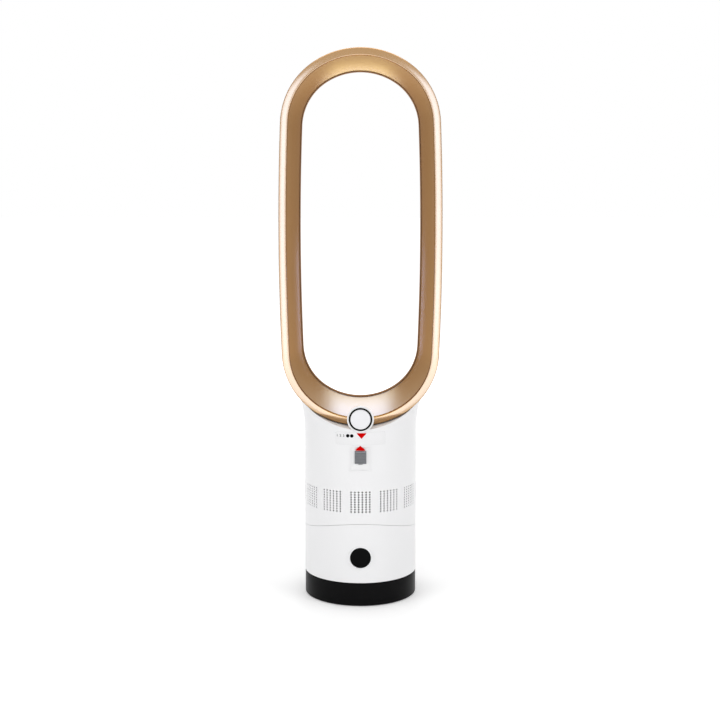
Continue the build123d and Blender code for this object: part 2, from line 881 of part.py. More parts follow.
def make_fan_duct():
    """Bell-mouthed duct round the fan wheel and the diffuser."""
    throat = duct_bottom + duct_throat_height
    inner = duct_inlet_radius
    outer = duct_outlet_radius
    bell = duct_bell_radius
    wall = duct_wall
    skin_low, skin_high = duct_skin_ends()
    inside = Polyline((inner, 0, throat), (outer, 0, duct_cone_top), (outer, 0, duct_top))
    outside = Polyline((outer + wall, 0, duct_top), (outer + wall, 0, skin_high), (inner + wall, 0, skin_low))
    lip_in = ThreePointArc(
        (inner + bell, 0, throat - bell),
        (inner + bell * (1 - sqrt(0.5)), 0, throat - bell * sqrt(0.5)),
        (inner, 0, throat),
    )
    lip_end = Line((inner + bell, 0, throat - bell), (inner + bell, 0, throat - bell + wall))
    lip_out = Line((inner + bell, 0, throat - bell + wall), (inner + wall, 0, skin_low))
    top = Line((outer, 0, duct_top), (outer + wall, 0, duct_top))
    face = make_face([*inside.edges(), top, *outside.edges(), lip_out, lip_end, lip_in])
    return revolve(face, Z_AXIS)


def make_partition():
    """Plate that seals the intake chamber from the air above it and carries the duct."""
    hole = mount_radius()
    plate = tube(body_inner - fit_gap, hole, partition_height, partition_height + partition_thickness)
    collar = tube(hole + partition_thickness, hole, partition_height, partition_height + collar_height)
    return plate + collar


def mount_radius():
    """Inside radius of the partition's collar."""
    return duct_skin(partition_height + collar_height) + mount_ring_width


def make_mount_ring():
    """Rubber ring that holds the duct in the partition and stops its hum."""
    low, high = partition_height, partition_height + collar_height
    outer = mount_radius() - fit_gap / 2
    slack = fit_gap / 2
    inner_low, inner_high = duct_skin(low) + slack, duct_skin(high) + slack
    return turned([(inner_low, low), (outer, low), (outer, high), (inner_high, high)])


def duct_skin_ends():
    """Heights of both ends of the cone's outside; they keep the wall about equally thick."""
    return duct_bottom + duct_throat_height - duct_wall * 0.2, duct_cone_top - duct_wall * 0.6


def duct_skin(z):
    """Outside radius of the duct's cone at a height."""
    low, high = duct_skin_ends()
    share = (z - low) / (high - low)
    return duct_inlet_radius + duct_wall + share * (duct_outlet_radius - duct_inlet_radius)


def twisted_blade(bottom, top, inner, outer, thickness, twist):
    """A radial blade that turns as it rises, ruled between two flat sections."""
    face = Pos((inner + outer) / 2, 0, 0) * Rectangle(outer - inner, thickness)
    return loft([Pos(0, 0, bottom) * face, Pos(0, 0, top) * Rot(0, 0, twist) * face], ruled=True)


def make_impeller():
    """Mixed-flow fan wheel: a domed hub with twisted blades."""
    nose, hub = impeller_nose_radius, impeller_hub_radius
    low, high = impeller_bottom, impeller_top
    rim = high - impeller_rim_height
    rise = rim - low
    dome = ThreePointArc((nose, 0, low), (nose + (hub - nose) * 0.62, 0, low + rise * 0.42), (hub, 0, rim))
    rest = Polyline((hub, 0, rim), (hub, 0, high), (0, 0, high), (0, 0, low), (nose, 0, low))
    hub_solid = revolve(make_face([dome, *rest.edges()]), Z_AXIS)
    gap = impeller_tip_gap
    blade_low, blade_high = low + impeller_blade_start, high
    throat = duct_bottom + duct_throat_height
    tips = turned(
        [
            (0, duct_bottom),
            (duct_inlet_radius - gap, duct_bottom),
            (duct_inlet_radius - gap, throat),
            (duct_outlet_radius - gap, duct_cone_top),
            (0, duct_cone_top),
        ]
    )
    root, reach = impeller_root_radius, duct_outlet_radius
    blade = twisted_blade(blade_low, blade_high, root, reach, impeller_blade, impeller_twist) & tips
    wheel = fused(hub_solid, around(blade, impeller_blades))
    bore = disc(shaft_radius, shaft_bottom, high + 1)
    cavity = tube(hub - impeller_rim_height, 2.5 * shaft_radius, high - impeller_cavity_depth, high + 1)
    return wheel - bore - cavity


def make_motor_bucket():
    """Motor cup with the diffuser vanes that take the swirl out of the air."""
    top, low, wall = bucket_top, bucket_bottom, bucket_wall
    boss = bearing_radius + wall
    taper = bucket_radius * bucket_taper
    shoulder = top - bucket_dome
    cup = turned(
        [
            (bearing_radius, low),
            (bucket_radius, low),
            (bucket_radius, shoulder),
            (taper, top),
            (bearing_radius, top),
            (bearing_radius, top - bearing_height),
            (boss, top - bearing_height),
            (boss, top - wall),
            (taper - wall * 0.4, top - wall),
            (bucket_radius - wall, shoulder - wall * 0.4),
            (bucket_radius - wall, low + wall),
            (boss, low + wall),
            (boss, low + bearing_height),
            (bearing_radius, low + bearing_height),
        ]
    )
    overlap = wall / 2
    outer = duct_outlet_radius - fit_gap
    ring = turned(
        [
            (bucket_radius - overlap, low + overlap),
            (duct_radius(low + overlap) - fit_gap, low + overlap),
            (outer, duct_cone_top),
            (outer, shoulder),
            (bucket_radius - overlap, shoulder),
        ]
    )
    blank = twisted_blade(low, shoulder, bucket_radius - overlap, outer + 2, vane_thickness, -vane_twist)
    return fused(cup, around(blank & ring, vane_count))


def make_motor_shaft():
    return disc(shaft_radius - bearing_clearance, shaft_bottom, shaft_top)


def bearing_bottoms():
    return (bucket_bottom, bucket_top - bearing_height)


def make_motor_bearings():
    """Two small ball bearings, one at each end of the motor cup."""
    outer = bearing_radius - bearing_clearance
    return [tube(outer, shaft_radius, low, low + bearing_height) for low in bearing_bottoms()]


def make_motor_rotor():
    bore = shaft_radius - bearing_clearance
    return tube(rotor_radius, bore, stator_bottom, stator_bottom + stator_height)


def make_motor_stator():
    """Laminated ring with wound teeth round the rotor."""
    low, high = stator_bottom, stator_bottom + stator_height
    outer = bucket_radius - bucket_wall - fit_gap
    inner = rotor_radius + running_gap
    rim = outer - stator_rim
    ring = tube(outer, rim, low, high)
    tooth_half, shoe_half, coil_half = stator_tooth_width / 2, stator_shoe_width / 2, stator_coil_width / 2
    coil_start, inset = inner + stator_shoe_depth + stator_coil_inset, stator_coil_inset
    tooth = block(inner, rim + 1, -tooth_half, tooth_half, low, high)
    shoe = block(inner, inner + stator_shoe_depth, -shoe_half, shoe_half, low, high)
    coil = block(coil_start, rim - inset, -coil_half, coil_half, low + inset, high - inset)
    core = fused(ring, around(tooth, stator_teeth) + around(shoe, stator_teeth) + around(coil, stator_teeth))
    return core - disc(inner, low - 1, high + 1)


# ---------------------------------------------------------------- controls
def pod_solid(shrink):
    """The tapered nose that carries the round mode button."""
    depth = pod_front - pod_back
    cone = Cone(pod_radius - shrink, pod_radius - pod_taper - shrink, depth)
    return Pos(0, -(pod_front + pod_back) / 2, pod_height) * Rot(-90, 0, 0) * cone


def front_ring(outer, inner, front, back, height):
    """A ring about a line along Y; front and back are distances towards the viewer."""
    ring = Circle(outer) - Circle(inner) if inner else Circle(outer)
    return Pos(0, -back, height) * Rot(90, 0, 0) * extrude(ring, front - back)


def make_button_pod():
    cup = pod_solid(0)
    cup -= front_ring(trim_outer_radius + fit_gap, 0, pod_front + 1, pod_front - trim_depth, pod_height)
    inner = pod_radius - pod_taper - 1.75 * pod_wall
    cup -= front_ring(inner, 0, pod_front, pod_back + pod_wall, pod_height)
    return cup


def make_pod_trim():
    front = pod_front + trim_proud
    return front_ring(trim_outer_radius, trim_inner_radius, front, pod_front - trim_depth, pod_height)


def make_mode_button():
    """Round cap with a slightly domed face and a stem behind it."""
    radius = trim_inner_radius - button_gap
    front = pod_front + mode_cap_proud
    back = front - mode_cap_depth
    cap = front_ring(radius, 0, front, back, pod_height)
    cap = chamfer(cap.edges().sort_by(Axis.Y)[0], mode_cap_edge, mode_cap_slope)
    tip = pod_back + pod_wall + switch_plunger + mode_travel + switch_slack
    stem = front_ring(button_stem_radius, 0, back, tip, pod_height)
    return cap + stem


def make_mode_switch():
    low = pod_back + pod_wall
    half = switch_size / 2
    return block(-half, half, -(low + switch_plunger), -low, pod_height - half, pod_height + half)


def make_power_bezel():
    outer = power_radius + power_bezel_width
    front = body_radius + power_bezel_proud
    return front_ring(outer, power_radius, front, front - power_cap_depth, power_height)


def make_power_button():
    radius = power_radius - button_gap
    front = body_radius + power_cap_proud
    back = front - power_cap_depth
    cap = front_ring(radius, 0, front, back, power_height)
    cap = chamfer(cap.edges().sort_by(Axis.Y)[0], power_cap_edge)
    stem = front_ring(button_stem_radius, 0, back, back - power_stem_length, power_height)
    return cap + stem


def make_power_switch():
    """Push switch on a small upright bracket that stands on the turntable."""
    stem_end = body_radius + power_cap_proud - power_cap_depth - power_stem_length
    tip = stem_end - power_travel - switch_slack
    face = tip - switch_depth
    half, wide = switch_size / 2, 1.5 * switch_size
    switch = block(-half, half, -tip, -face, power_height - half, power_height + half)
    back = bracket_sheet - face
    bracket = block(-wide, wide, -face, back, turntable_top, power_height + switch_size)
    foot = block(-wide, wide, -face, bracket_foot - face, turntable_top, turntable_top + bracket_sheet)
    return switch + bracket + foot


def front_skin(outer, inner):
    """The part of the body's front between two offsets from its surface."""
    return body_solid(-outer) - body_solid(-inner)


def window_solid(gap, proud, sunk):
    """Curved window that lies in the front wall over the indicator lamps."""
    face = RectangleRounded(window_width + 2 * gap, window_height + 2 * gap, window_corner)
    prism = Pos(0, 0, window_centre) * Rot(90, 0, 0) * extrude(face, 2 * body_radius)
    return prism & front_skin(proud, -window_thickness - sunk)


def make_display_window():
    window = window_solid(0, 0, 0)
    window -= front_bore(pod_radius + fit_gap, pod_height)
    return window


def track_well():
    """Distance of the tray's floor from the body's centre line."""
    return body_radius - track_depth


def track_back():
    """Distance of the tray's back from the body's centre line."""
    return track_well() - track_wall


def track_pocket(gap):
    """Pocket in the front wall for the release slider's tray."""
    centre = (track_top + track_bottom) / 2
    face = RectangleRounded(track_width + 2 * gap, track_top - track_bottom + 2 * gap, track_corner)
    back = track_back()
    return Pos(0, -back, centre) * Rot(90, 0, 0) * extrude(face, body_radius - back + 6)


def make_slider_track():
    """Recessed tray with a slot that the slider's stem runs in."""
    tray = track_pocket(0) & body_solid(0)
    centre = (track_top + track_bottom) / 2
    inner_height = track_top - track_bottom - 2 * track_margin
    well = RectangleRounded(track_width - 2 * track_margin, inner_height, track_corner - track_margin / 2)
    tray -= Pos(0, -track_well(), centre) * Rot(90, 0, 0) * extrude(well, 20)
    middle = slider_top - slider_height / 2
    low = middle - stem_height / 2 - slider_travel - running_gap
    high = middle + stem_height / 2 + running_gap
    half = stem_width / 2 + running_gap
    return tray - block(-half, half, -body_radius - 5, -track_back() + 5, low, high)


def make_release_slider():
    """Grey ribbed slide that frees the loop when it is pulled down."""
    floor = track_well() + running_gap
    front = floor + slider_rise
    centre = slider_top - slider_height / 2
    half = slider_width / 2
    cap = block(-half, half, -front, -floor, slider_top - slider_height, slider_top)
    cut = slider_groove / 2
    groove = block(-half - 1, half + 1, -front - 1, -front + slider_groove, -cut, cut)
    for i in range(slider_grooves):
        cap -= Pos(0, 0, slider_top - slider_height * (i + 1) / (slider_grooves + 1)) * groove
    inside = track_back() - running_gap
    low, high = centre - stem_height / 2, centre + stem_height / 2
    stem = block(-stem_width / 2, stem_width / 2, -floor, -inside, low, high)
    plate = block(-stem_width, stem_width, -inside, slider_plate - inside, low, high + slider_travel)
    return cap + stem + plate


# ---------------------------------------------------------------- electronics
def make_control_board():
    """Main circuit board with its larger parts, on pillars above the turntable."""
    low = turntable_top + board_standoff
    top = low + board_thickness
    far = board_edge - body_inner
    near, half = far + board_width, board_length / 2
    board = block(far, near, -half, half, low, top)
    for y in (-half + board_foot_inset, half - board_foot_inset):
        for x in (far + board_foot_inset, near - board_foot_inset):
            board += disc(board_foot_radius, turntable_top, low, at=(x, y))
    middle = (far + near) / 2
    for radius, height, x, y in capacitors:
        board += disc(radius, top, top + height, at=(middle + x, y))
    for width, length, height, x, y in (transformer, heat_sink):
        x0, y0 = middle + x - width / 2, y - length / 2
        board += block(x0, x0 + width, y0, y0 + length, top, top + height)
    return board


def make_display_board():
    """Strip of indicator lamps behind the window; its ends stand against the curved wall."""
    half = display_half_length
    front = sqrt(body_inner**2 - half**2) - fit_gap
    low = window_centre - 0.6 * display_height
    return block(-half, half, -front, -(front - board_thickness), low, low + display_height)


def build():
    save("base_plate", make_base_plate())
    save("rubber_feet", make_feet())
    save("ballast_ring", make_ballast())
    save("base_skirt", make_base_skirt())
    save("mains_inlet", make_mains_inlet())
    save("inlet_pins", make_inlet_pins())
    save("base_screws", make_base_screws())
    save("glide_ring", make_glide_ring())
    save("swivel_post", make_swivel_post())
    save("swivel_retainer", make_retainer())
    save("swivel_sun_gear", make_sun_gear())
    save("swivel_pinion", make_pinion())
    save("turntable", make_turntable())
    save("swivel_motor", make_swivel_motor())
    save("lower_housing", make_lower_housing())
    save("control_board", make_control_board())
    save("power_bezel", make_power_bezel())
    save("power_button", make_power_button())
    save("power_switch", make_power_switch())
    save("tilt_shoe", make_tilt_shoe())
    save("tilt_guide", make_tilt_guide())
    save("upper_housing", make_upper_housing())
    save("grille_ladders", make_grille_ladders())
    save("partition_plate", make_partition())
    save("duct_mount_ring", make_mount_ring())
    save("fan_duct", make_fan_duct())
    save("motor_bucket", make_motor_bucket())
    save("motor_stator", make_motor_stator())
    save("motor_bearings", make_motor_bearings())
    save("motor_rotor", make_motor_rotor())
    save("motor_shaft", make_motor_shaft())
    save("impeller", make_impeller())
    save("neck_seal", make_neck_seal())
    save("loop_neck", make_loop_neck())
    save("loop_shell", make_loop_shell())
    save("loop_liner", loop_ring(liner_section()))
    save("loop_rim", loop_ring(rim_section()))
    save("slit_spacers", make_slit_spacers())
    save("button_pod", make_button_pod())
    save("pod_trim_ring", make_pod_trim())
    save("mode_button", make_mode_button())
    save("mode_switch", make_mode_switch())
    save("display_window", make_display_window())
    save("display_board", make_display_board())
    save("slider_track", make_slider_track())
    save("release_slider", make_release_slider())


build()
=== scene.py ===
# %% [markdown]
# # A bladeless fan, dressed for the photograph
#
# The fan is a tall hollow loop on a round white body. A wheel in the body sucks air in through
# 648 small holes and blows it up into the loop, where a thin slit at the rear lets it out over
# a gold wall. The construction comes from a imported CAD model, which this script loads as its
# frame. What the camera sees is then either that model's own mesh with a better finish,
# or a new piece made here in the same place.
#
# Blender's numbers are in metres, with Z up and the front facing -Y. The sizes of the fan are
# written in millimetres, and MM turns them into metres.

from math import atan2, cos, degrees, hypot, pi, radians, sin, sqrt

import bmesh
import bpy
import numpy as np
from mathutils import Matrix, Vector


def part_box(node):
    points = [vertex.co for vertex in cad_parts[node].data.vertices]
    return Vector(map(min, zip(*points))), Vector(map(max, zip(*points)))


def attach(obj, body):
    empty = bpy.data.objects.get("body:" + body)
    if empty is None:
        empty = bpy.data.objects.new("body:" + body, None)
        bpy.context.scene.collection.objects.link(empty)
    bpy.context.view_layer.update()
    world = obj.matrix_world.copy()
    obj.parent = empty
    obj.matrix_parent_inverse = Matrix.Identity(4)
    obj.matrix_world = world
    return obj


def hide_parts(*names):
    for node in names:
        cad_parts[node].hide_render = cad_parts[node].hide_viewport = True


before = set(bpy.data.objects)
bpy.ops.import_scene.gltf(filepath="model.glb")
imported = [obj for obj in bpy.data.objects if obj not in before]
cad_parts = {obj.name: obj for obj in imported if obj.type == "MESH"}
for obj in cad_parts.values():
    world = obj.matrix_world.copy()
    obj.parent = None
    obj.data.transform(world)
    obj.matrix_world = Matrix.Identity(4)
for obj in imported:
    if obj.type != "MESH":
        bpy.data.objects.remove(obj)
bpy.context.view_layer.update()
MM = 0.001


# %% [markdown]
# ## Small tools
#
# Node trees are easier to read when sums look like sums. `Wire` wraps a socket, so that
# `1 - mask * 0.5` adds the Math nodes by itself. `Plan` adds any other node in one line: its
# type, the settings that must be made first, and the values or links of its sockets. The same
# two classes serve materials and Geometry Nodes.


# %% Wires and plans
class Wire:
    """A number socket that the usual arithmetic signs work on."""

    def __init__(self, plan, socket):
        self.plan, self.socket = plan, socket

    def math(self, operation, *values):
        return self.plan.add("ShaderNodeMath", {"operation": operation}, dict(enumerate(values)))

    def __add__(self, other):
        return self.math("ADD", self, other)

    def __sub__(self, other):
        return self.math("SUBTRACT", self, other)

    def __rsub__(self, other):
        return self.math("SUBTRACT", other, self)

    def __mul__(self, other):
        return self.math("MULTIPLY", self, other)

    def __truediv__(self, other):
        return self.math("DIVIDE", self, other)

    def __mod__(self, other):
        return self.math("MODULO", self, other)

    def __lt__(self, other):
        return self.math("LESS_THAN", self, other)

    def __gt__(self, other):
        return self.math("GREATER_THAN", self, other)

    __radd__ = __add__
    __rmul__ = __mul__


class Plan:
    """Adds nodes to a tree. An output comes back as a Wire: the first one if none is named."""

    def __init__(self, tree):
        self.tree = tree

    def node(self, kind, settings=None, sockets=None):
        node = self.tree.nodes.new(kind)
        for name, value in (settings or {}).items():
            setattr(node, name, value)
        for name, value in (sockets or {}).items():
            target = node.inputs[name]
            if isinstance(value, Wire):
                self.tree.links.new(value.socket, target)
            else:
                target.default_value = value
        return node

    def add(self, kind, settings=None, sockets=None, output=None):
        node = self.node(kind, settings, sockets)
        if output is None:
            output = next(i for i, socket in enumerate(node.outputs) if socket.enabled)
        return Wire(self, node.outputs[output])


# %% [markdown]
# ## Finishes
#
# A flat colour looks like computer graphics. Real moulded plastic has a faint orange-peel
# surface, is a little duller where it has been touched, and its colour wanders by a percent or
# two. An image could carry that, but noise needs no unwrapping and has no seams. `Finish` starts
# every material in the same way, from Object coordinates in millimetres, and its methods give
# the patterns. What is the same all over goes straight on the shader's own socket.


# %% The finish builder
def srgb(red, green, blue):
    """A colour as a picture program shows it (0 to 255), turned to the linear one Blender uses."""
    channel = [v / 255 for v in (red, green, blue)]
    return tuple(v / 12.92 if v <= 0.04045 else ((v + 0.055) / 1.055) ** 2.4 for v in channel)


class Finish(Plan):
    """A Principled material with Object coordinates in millimetres to paint by."""

    def __init__(self, name, **fixed):
        self.material = bpy.data.materials.new(name)
        self.material.use_nodes = True
        super().__init__(self.material.node_tree)
        self.tree.nodes.clear()
        self.shader = self.node("ShaderNodeBsdfPrincipled", None, fixed)
        self.output = self.node("ShaderNodeOutputMaterial")
        self.tree.links.new(self.shader.outputs[0], self.output.inputs[0])
        coordinates = self.add("ShaderNodeTexCoord", None, None, "Object")
        self.place = self.add("ShaderNodeMapping", None, {"Vector": coordinates, "Scale": (1 / MM,) * 3})

    def noise(self, size, detail=2.0, stretch=(1, 1, 1)):
        """Smooth noise from 0 to 1 whose features are about this many millimetres."""
        place = self.place
        if stretch != (1, 1, 1):
            place = self.add("ShaderNodeMapping", None, {"Vector": place, "Scale": stretch})
        return self.add("ShaderNodeTexNoise", None, {"Vector": place, "Scale": 1 / size, "Detail": detail})

    def speckle(self, size):
        """A different grey for each little cell, as in metallic paint."""
        cells = {"Vector": self.place, "Scale": 1 / size}
        colour = self.add("ShaderNodeTexVoronoi", None, cells, "Color")
        return self.add("ShaderNodeSeparateColor", None, {"Color": colour}, "Red")

    def mix(self, share, first, second):
        """One colour at 0, the other at 1."""
        colours = [c if isinstance(c, Wire) else (*c, 1) for c in (first, second)]
        sockets = {0: share, 6: colours[0], 7: colours[1]}
        return self.add("ShaderNodeMix", {"data_type": "RGBA"}, sockets, 2)

    def clamp(self, wire, low=0.0, high=1.0):
        return self.add("ShaderNodeClamp", None, {"Value": wire, "Min": low, "Max": high})

    def height(self, *, z_from, z_to):
        """0 at one height and 1 at the other, in millimetres."""
        z = self.add("ShaderNodeSeparateXYZ", None, {"Vector": self.place}, "Z")
        return self.clamp((z - z_from) / (z_to - z_from))

    def paint(self, **links):
        """Links what varies over the surface to the shader."""
        for name, wire in links.items():
            self.tree.links.new(wire.socket, self.shader.inputs[name.replace("_", " ")])

    def bump(self, wire, depth):
        """Turns a height pattern into a normal; depth is in millimetres."""
        sockets = {"Height": wire, "Distance": depth * MM, "Strength": 1.0}
        self.paint(Normal=self.add("ShaderNodeBump", None, sockets))


# %% [markdown]
# ### Plastics
#
# `moulded` gives a plastic its three kinds of wear: orange peel, handled patches and a slow
# drift of colour. The white is the cool, slightly grey white of a glossy appliance. The black
# skirt is matt with a fine spark-eroded grain. The ring and the round buttons are smoother. The
# gloss is kept low, because the photograph's even light leaves hardly a reflection on plastics.


# %% Plastics
def moulded(name, colour, rough, peel=0.02, peel_size=1.2, drift=0.015, smudge=0.06, **fixed):
    """Moulded plastic: orange peel, a slow drift of colour, and handled patches."""
    finish = Finish(name, **fixed)
    drift_size, patch_size = 45, 14
    slow = finish.noise(drift_size, 3)
    handled = finish.noise(patch_size, 4)
    grain = finish.noise(peel_size, 2)
    darker = tuple(v * (1 - 2 * drift) for v in colour)
    finish.paint(Base_Color=finish.mix(slow, darker, colour))
    finish.paint(Roughness=finish.clamp(handled * smudge + (rough - smudge / 2), 0.03, 1.0))
    finish.bump(grain, peel)
    return finish.material


COAT = {"Specular IOR Level": 0.2, "Coat Weight": 0.1, "Coat Roughness": 0.08}
white = moulded("white_housing", srgb(244, 244, 245), 0.30, 0.012, 1.4, 0.006, 0.05, **COAT)
DULL, INK = {"Specular IOR Level": 0.05}, {"Specular IOR Level": 0.0}
black_skirt = moulded("black_skirt", srgb(15, 15, 16), 0.34, 0.02, 0.6, 0.15, 0.08, **DULL)
black_gloss = moulded("black_button", srgb(9, 9, 10), 0.25, 0.01, 1.5, 0.2, 0.05, **DULL)
dome_grey = moulded("button_dome", srgb(242, 242, 245), 0.28, 0.01, 1.6, 0.01, 0.05, **COAT)
slider_grey = moulded("slider_grey", srgb(133, 135, 139), 0.45, 0.02, 0.5, 0.05, 0.1)
rubber = moulded("rubber_pad", srgb(34, 34, 34), 0.85, 0.05, 0.4, 0.1, 0.1)
# This black is also laid on the housings' inward faces as painted shade.
inner_black = moulded("inner_black", srgb(26, 27, 29), 0.6, 0.03, 0.7, 0.1, 0.1, **DULL)
acetal = moulded("acetal_gear", srgb(226, 222, 210), 0.45, 0.01, 0.8, 0.03, 0.1)
red_ink = moulded("red_ink", srgb(212, 5, 5), 0.5, 0.01, 0.3, 0.04, 0.1, **INK)
black_ink = moulded("black_ink", srgb(20, 20, 22), 0.55, 0.01, 0.3, 0.1, 0.1, **INK)
print("plastics:", len(bpy.data.materials))


# %% [markdown]
# ### Gold and champagne
#
# The air-guiding wall is painted in metallic gold: tiny flakes lie at slightly different
# angles, so the roughness and the tone sparkle at the scale of a fifth of a millimetre. Two
# noises could do it, but a Voronoi pattern gives each flake its own edge, as paint does. The
# rim is a smoother champagne. A bare metal turns white at its very edges. Gold paint doesn't: it
# turns brown there, so Specular Tint, which is the colour near 82 degrees, is a dark gold, and
# brown on the rim. The lip of the air slit has the same paint, only darker: painted shade for
# the shaded line at the slit.


# %% Metallic paints
def flake_paint(name, colour, light, rough, flake=0.25, sparkle=0.10, waves=0.003, **fixed):
    """Metallic paint: each flake has its own tone, under a slow cloudiness from spraying."""
    finish = Finish(name, **fixed)
    cloud_size, wave_size = 60, 5
    flakes = finish.speckle(flake)
    cloud = finish.noise(cloud_size, 3)
    tone = finish.clamp(flakes * sparkle * 2 + cloud * 0.6 - sparkle * 0.5)
    finish.paint(Base_Color=finish.mix(tone, colour, light))
    finish.paint(Roughness=finish.clamp(flakes * sparkle + (rough - sparkle / 2), 0.05, 1.0))
    finish.bump(finish.noise(wave_size, 2), waves)
    return finish.material


METAL = {"Metallic": 1.0, "Specular Tint": (0.38, 0.24, 0.15, 1)}
RIM_METAL = {"Metallic": 1.0, "Specular Tint": (0.17, 0.1, 0.05, 1)}
gold = flake_paint("gold_liner", srgb(188, 160, 130), srgb(198, 171, 141), 0.34, 0.2, 0.05, **METAL)
champagne = flake_paint(
    "champagne_rim", srgb(184, 146, 103), srgb(193, 156, 113), 0.24, 0.15, 0.02, 0.001, **RIM_METAL
)
# A darker copy of the gold: painted shade for the shaded line at the slit.
lip_gold_and_shade = flake_paint("bronze_lip", srgb(160, 124, 92), srgb(172, 136, 103), 0.4, 0.2, 0.03, **METAL)
print("metallic paints:", [paint.name for paint in (gold, champagne, lip_gold_and_shade)])


# %% [markdown]
# ### Bare metal, boards and the lamp window
#
# Three finishes are left. Turned steel has tool marks, which are noise drawn out in one
# direction. A circuit board is green lacquer over tracks, and is hardly seen, so cells of two
# tones are enough. The lamp window is nearly the housing's white. What gives it away is that it
# is smoother and a little darker towards its lower edge.


# %% Other finishes
def metal(name, colour, rough, stretch=(1, 1, 1), streak=1.5):
    """Bare metal with fine tool marks."""
    finish = Finish(name, Metallic=1.0)
    marks = finish.noise(streak, 3, stretch)
    dull = finish.noise(20, 2)
    finish.paint(Base_Color=finish.mix(dull, tuple(v * 0.85 for v in colour), colour))
    finish.paint(Roughness=finish.clamp(marks * 0.25 + (rough - 0.12), 0.05, 1.0))
    finish.bump(marks, 0.01)
    return finish.material


steel = metal("turned_steel", srgb(178, 180, 184), 0.35, (1, 1, 6))
brass = metal("brass_pin", srgb(196, 164, 96), 0.3)


def circuit_board():
    """Green lacquer over a faint grid of tracks."""
    finish = Finish("circuit_board", **{"Coat Weight": 0.4, "Coat Roughness": 0.2})
    tracks = finish.speckle(2.4)
    tone = finish.clamp((tracks > 0.5) * 0.7 + finish.noise(8, 2) * 0.3)
    finish.paint(Base_Color=finish.mix(tone, srgb(16, 64, 34), srgb(30, 92, 52)))
    finish.paint(Roughness=tone * 0.2 + 0.3)
    finish.bump(tracks, 0.03)
    return finish.material


def window_sheet():
    """The lamp window: almost the housing's white, glossier, faintly darker to its lower edge."""
    gloss = {"Specular IOR Level": 0.2, "Coat Weight": 0.06, "Coat Roughness": 0.03}
    finish = Finish("lamp_window", **gloss)
    fade = finish.height(z_from=208, z_to=226)
    cloud = finish.noise(18, 2)
    tone = fade * 0.6 + cloud * 0.4
    finish.paint(Base_Color=finish.mix(tone, srgb(240, 240, 241), srgb(243, 243, 244)))
    finish.paint(Roughness=cloud * 0.06 + 0.14)
    finish.bump(finish.noise(3, 2), 0.008)
    return finish.material


board_green = circuit_board()
window_clear = window_sheet()
print("all finishes:", sorted(m.name for m in bpy.data.materials))


# %% [markdown]
# ## Pieces
#
# A finished piece keeps its place in its mesh, rides on a CAD body and may stand for CAD nodes.
# `finish_piece` does those things in one call, after the mesh is plain.


# %% Piece helpers
def new_object(name, data):
    """An object for a mesh, a curve, a lamp or a camera, in the scene."""
    thing = bpy.data.objects.new(name, data)
    bpy.context.scene.collection.objects.link(thing)
    return thing


def new_mesh(name, points, edges=(), faces=()):
    mesh = bpy.data.meshes.new(name)
    mesh.from_pydata([tuple(p) for p in points], list(edges), list(faces))
    return mesh


def mesh_piece(name, points, faces, material):
    """An object from bare points and faces, with its sharp edges kept sharp."""
    mesh = new_mesh(name, points, faces=faces)
    mesh.validate()
    mesh.materials.append(material)
    return tidy_mesh(new_object(name, mesh))


def tidy_mesh(piece, smooth_below=35):
    """Merges doubles, turns the faces outwards and marks the sharp edges."""
    work = bmesh.new()
    work.from_mesh(piece.data)
    bmesh.ops.remove_doubles(work, verts=work.verts, dist=1e-6)
    bmesh.ops.recalc_face_normals(work, faces=work.faces)
    if work.calc_volume(signed=True) < 0:
        bmesh.ops.reverse_faces(work, faces=work.faces)
    work.to_mesh(piece.data)
    work.free()
    piece.data.shade_smooth()
    piece.data.set_sharp_from_angle(angle=radians(smooth_below))
    return piece


def paint_faces(piece, material, chosen):
    """Gives a second finish to the faces that the test chooses."""
    piece.data.materials.append(material)
    faces = [face for face in piece.data.polygons if chosen(face)]
    for face in faces:
        face.material_index = 1
    print(f"{piece.name}: {len(faces)} faces painted with {material.name}")


def finish_piece(piece, body, slot, *stands_for):
    """Names the body that a piece moves with and the CAD nodes it hides. The slot is not used."""
    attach(piece, body)
    if stands_for:
        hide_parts(*stands_for)
    print(f"{piece.name}: {len(piece.data.polygons)} faces on {body}")


def plain_mesh(piece):
    """Turns what the modifiers make into the piece's own mesh, and takes the modifiers off."""
    view = bpy.context.evaluated_depsgraph_get()
    mesh = bpy.data.meshes.new_from_object(piece.evaluated_get(view))
    piece.modifiers.clear()
    piece.data = mesh
    mesh.name = piece.name
    return piece


def cad_copy(node, name, material):
    """A CAD node's mesh, merged, as a new piece that can be cut and shaded."""
    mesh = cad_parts[node].data.copy()
    mesh.name = name
    piece = new_object(name, mesh)
    mesh.materials.clear()
    mesh.materials.append(material)
    if mesh.has_custom_normals:
        with bpy.context.temp_override(object=piece, active_object=piece):
            bpy.ops.mesh.customdata_custom_splitnormals_clear()
    return tidy_mesh(piece, 30)


def cut(piece, *cutters):
    """Takes the cutters out of the piece and removes them."""
    for cutter in cutters:
        modifier = piece.modifiers.new("cut", "BOOLEAN")
        modifier.operation, modifier.solver, modifier.object = "DIFFERENCE", "EXACT", cutter
    plain_mesh(piece)
    for cutter in cutters:
        bpy.data.objects.remove(cutter)
    return piece


# %% [markdown]
# ## Rounded profiles
#
# Nearly every part here is a profile carried round something: round the loop's outline, or
# round an axis. A profile is written as a few corners, each with the radius of its rounding.
# Small radii on the outer corners matter most, because an edge without one catches no light.


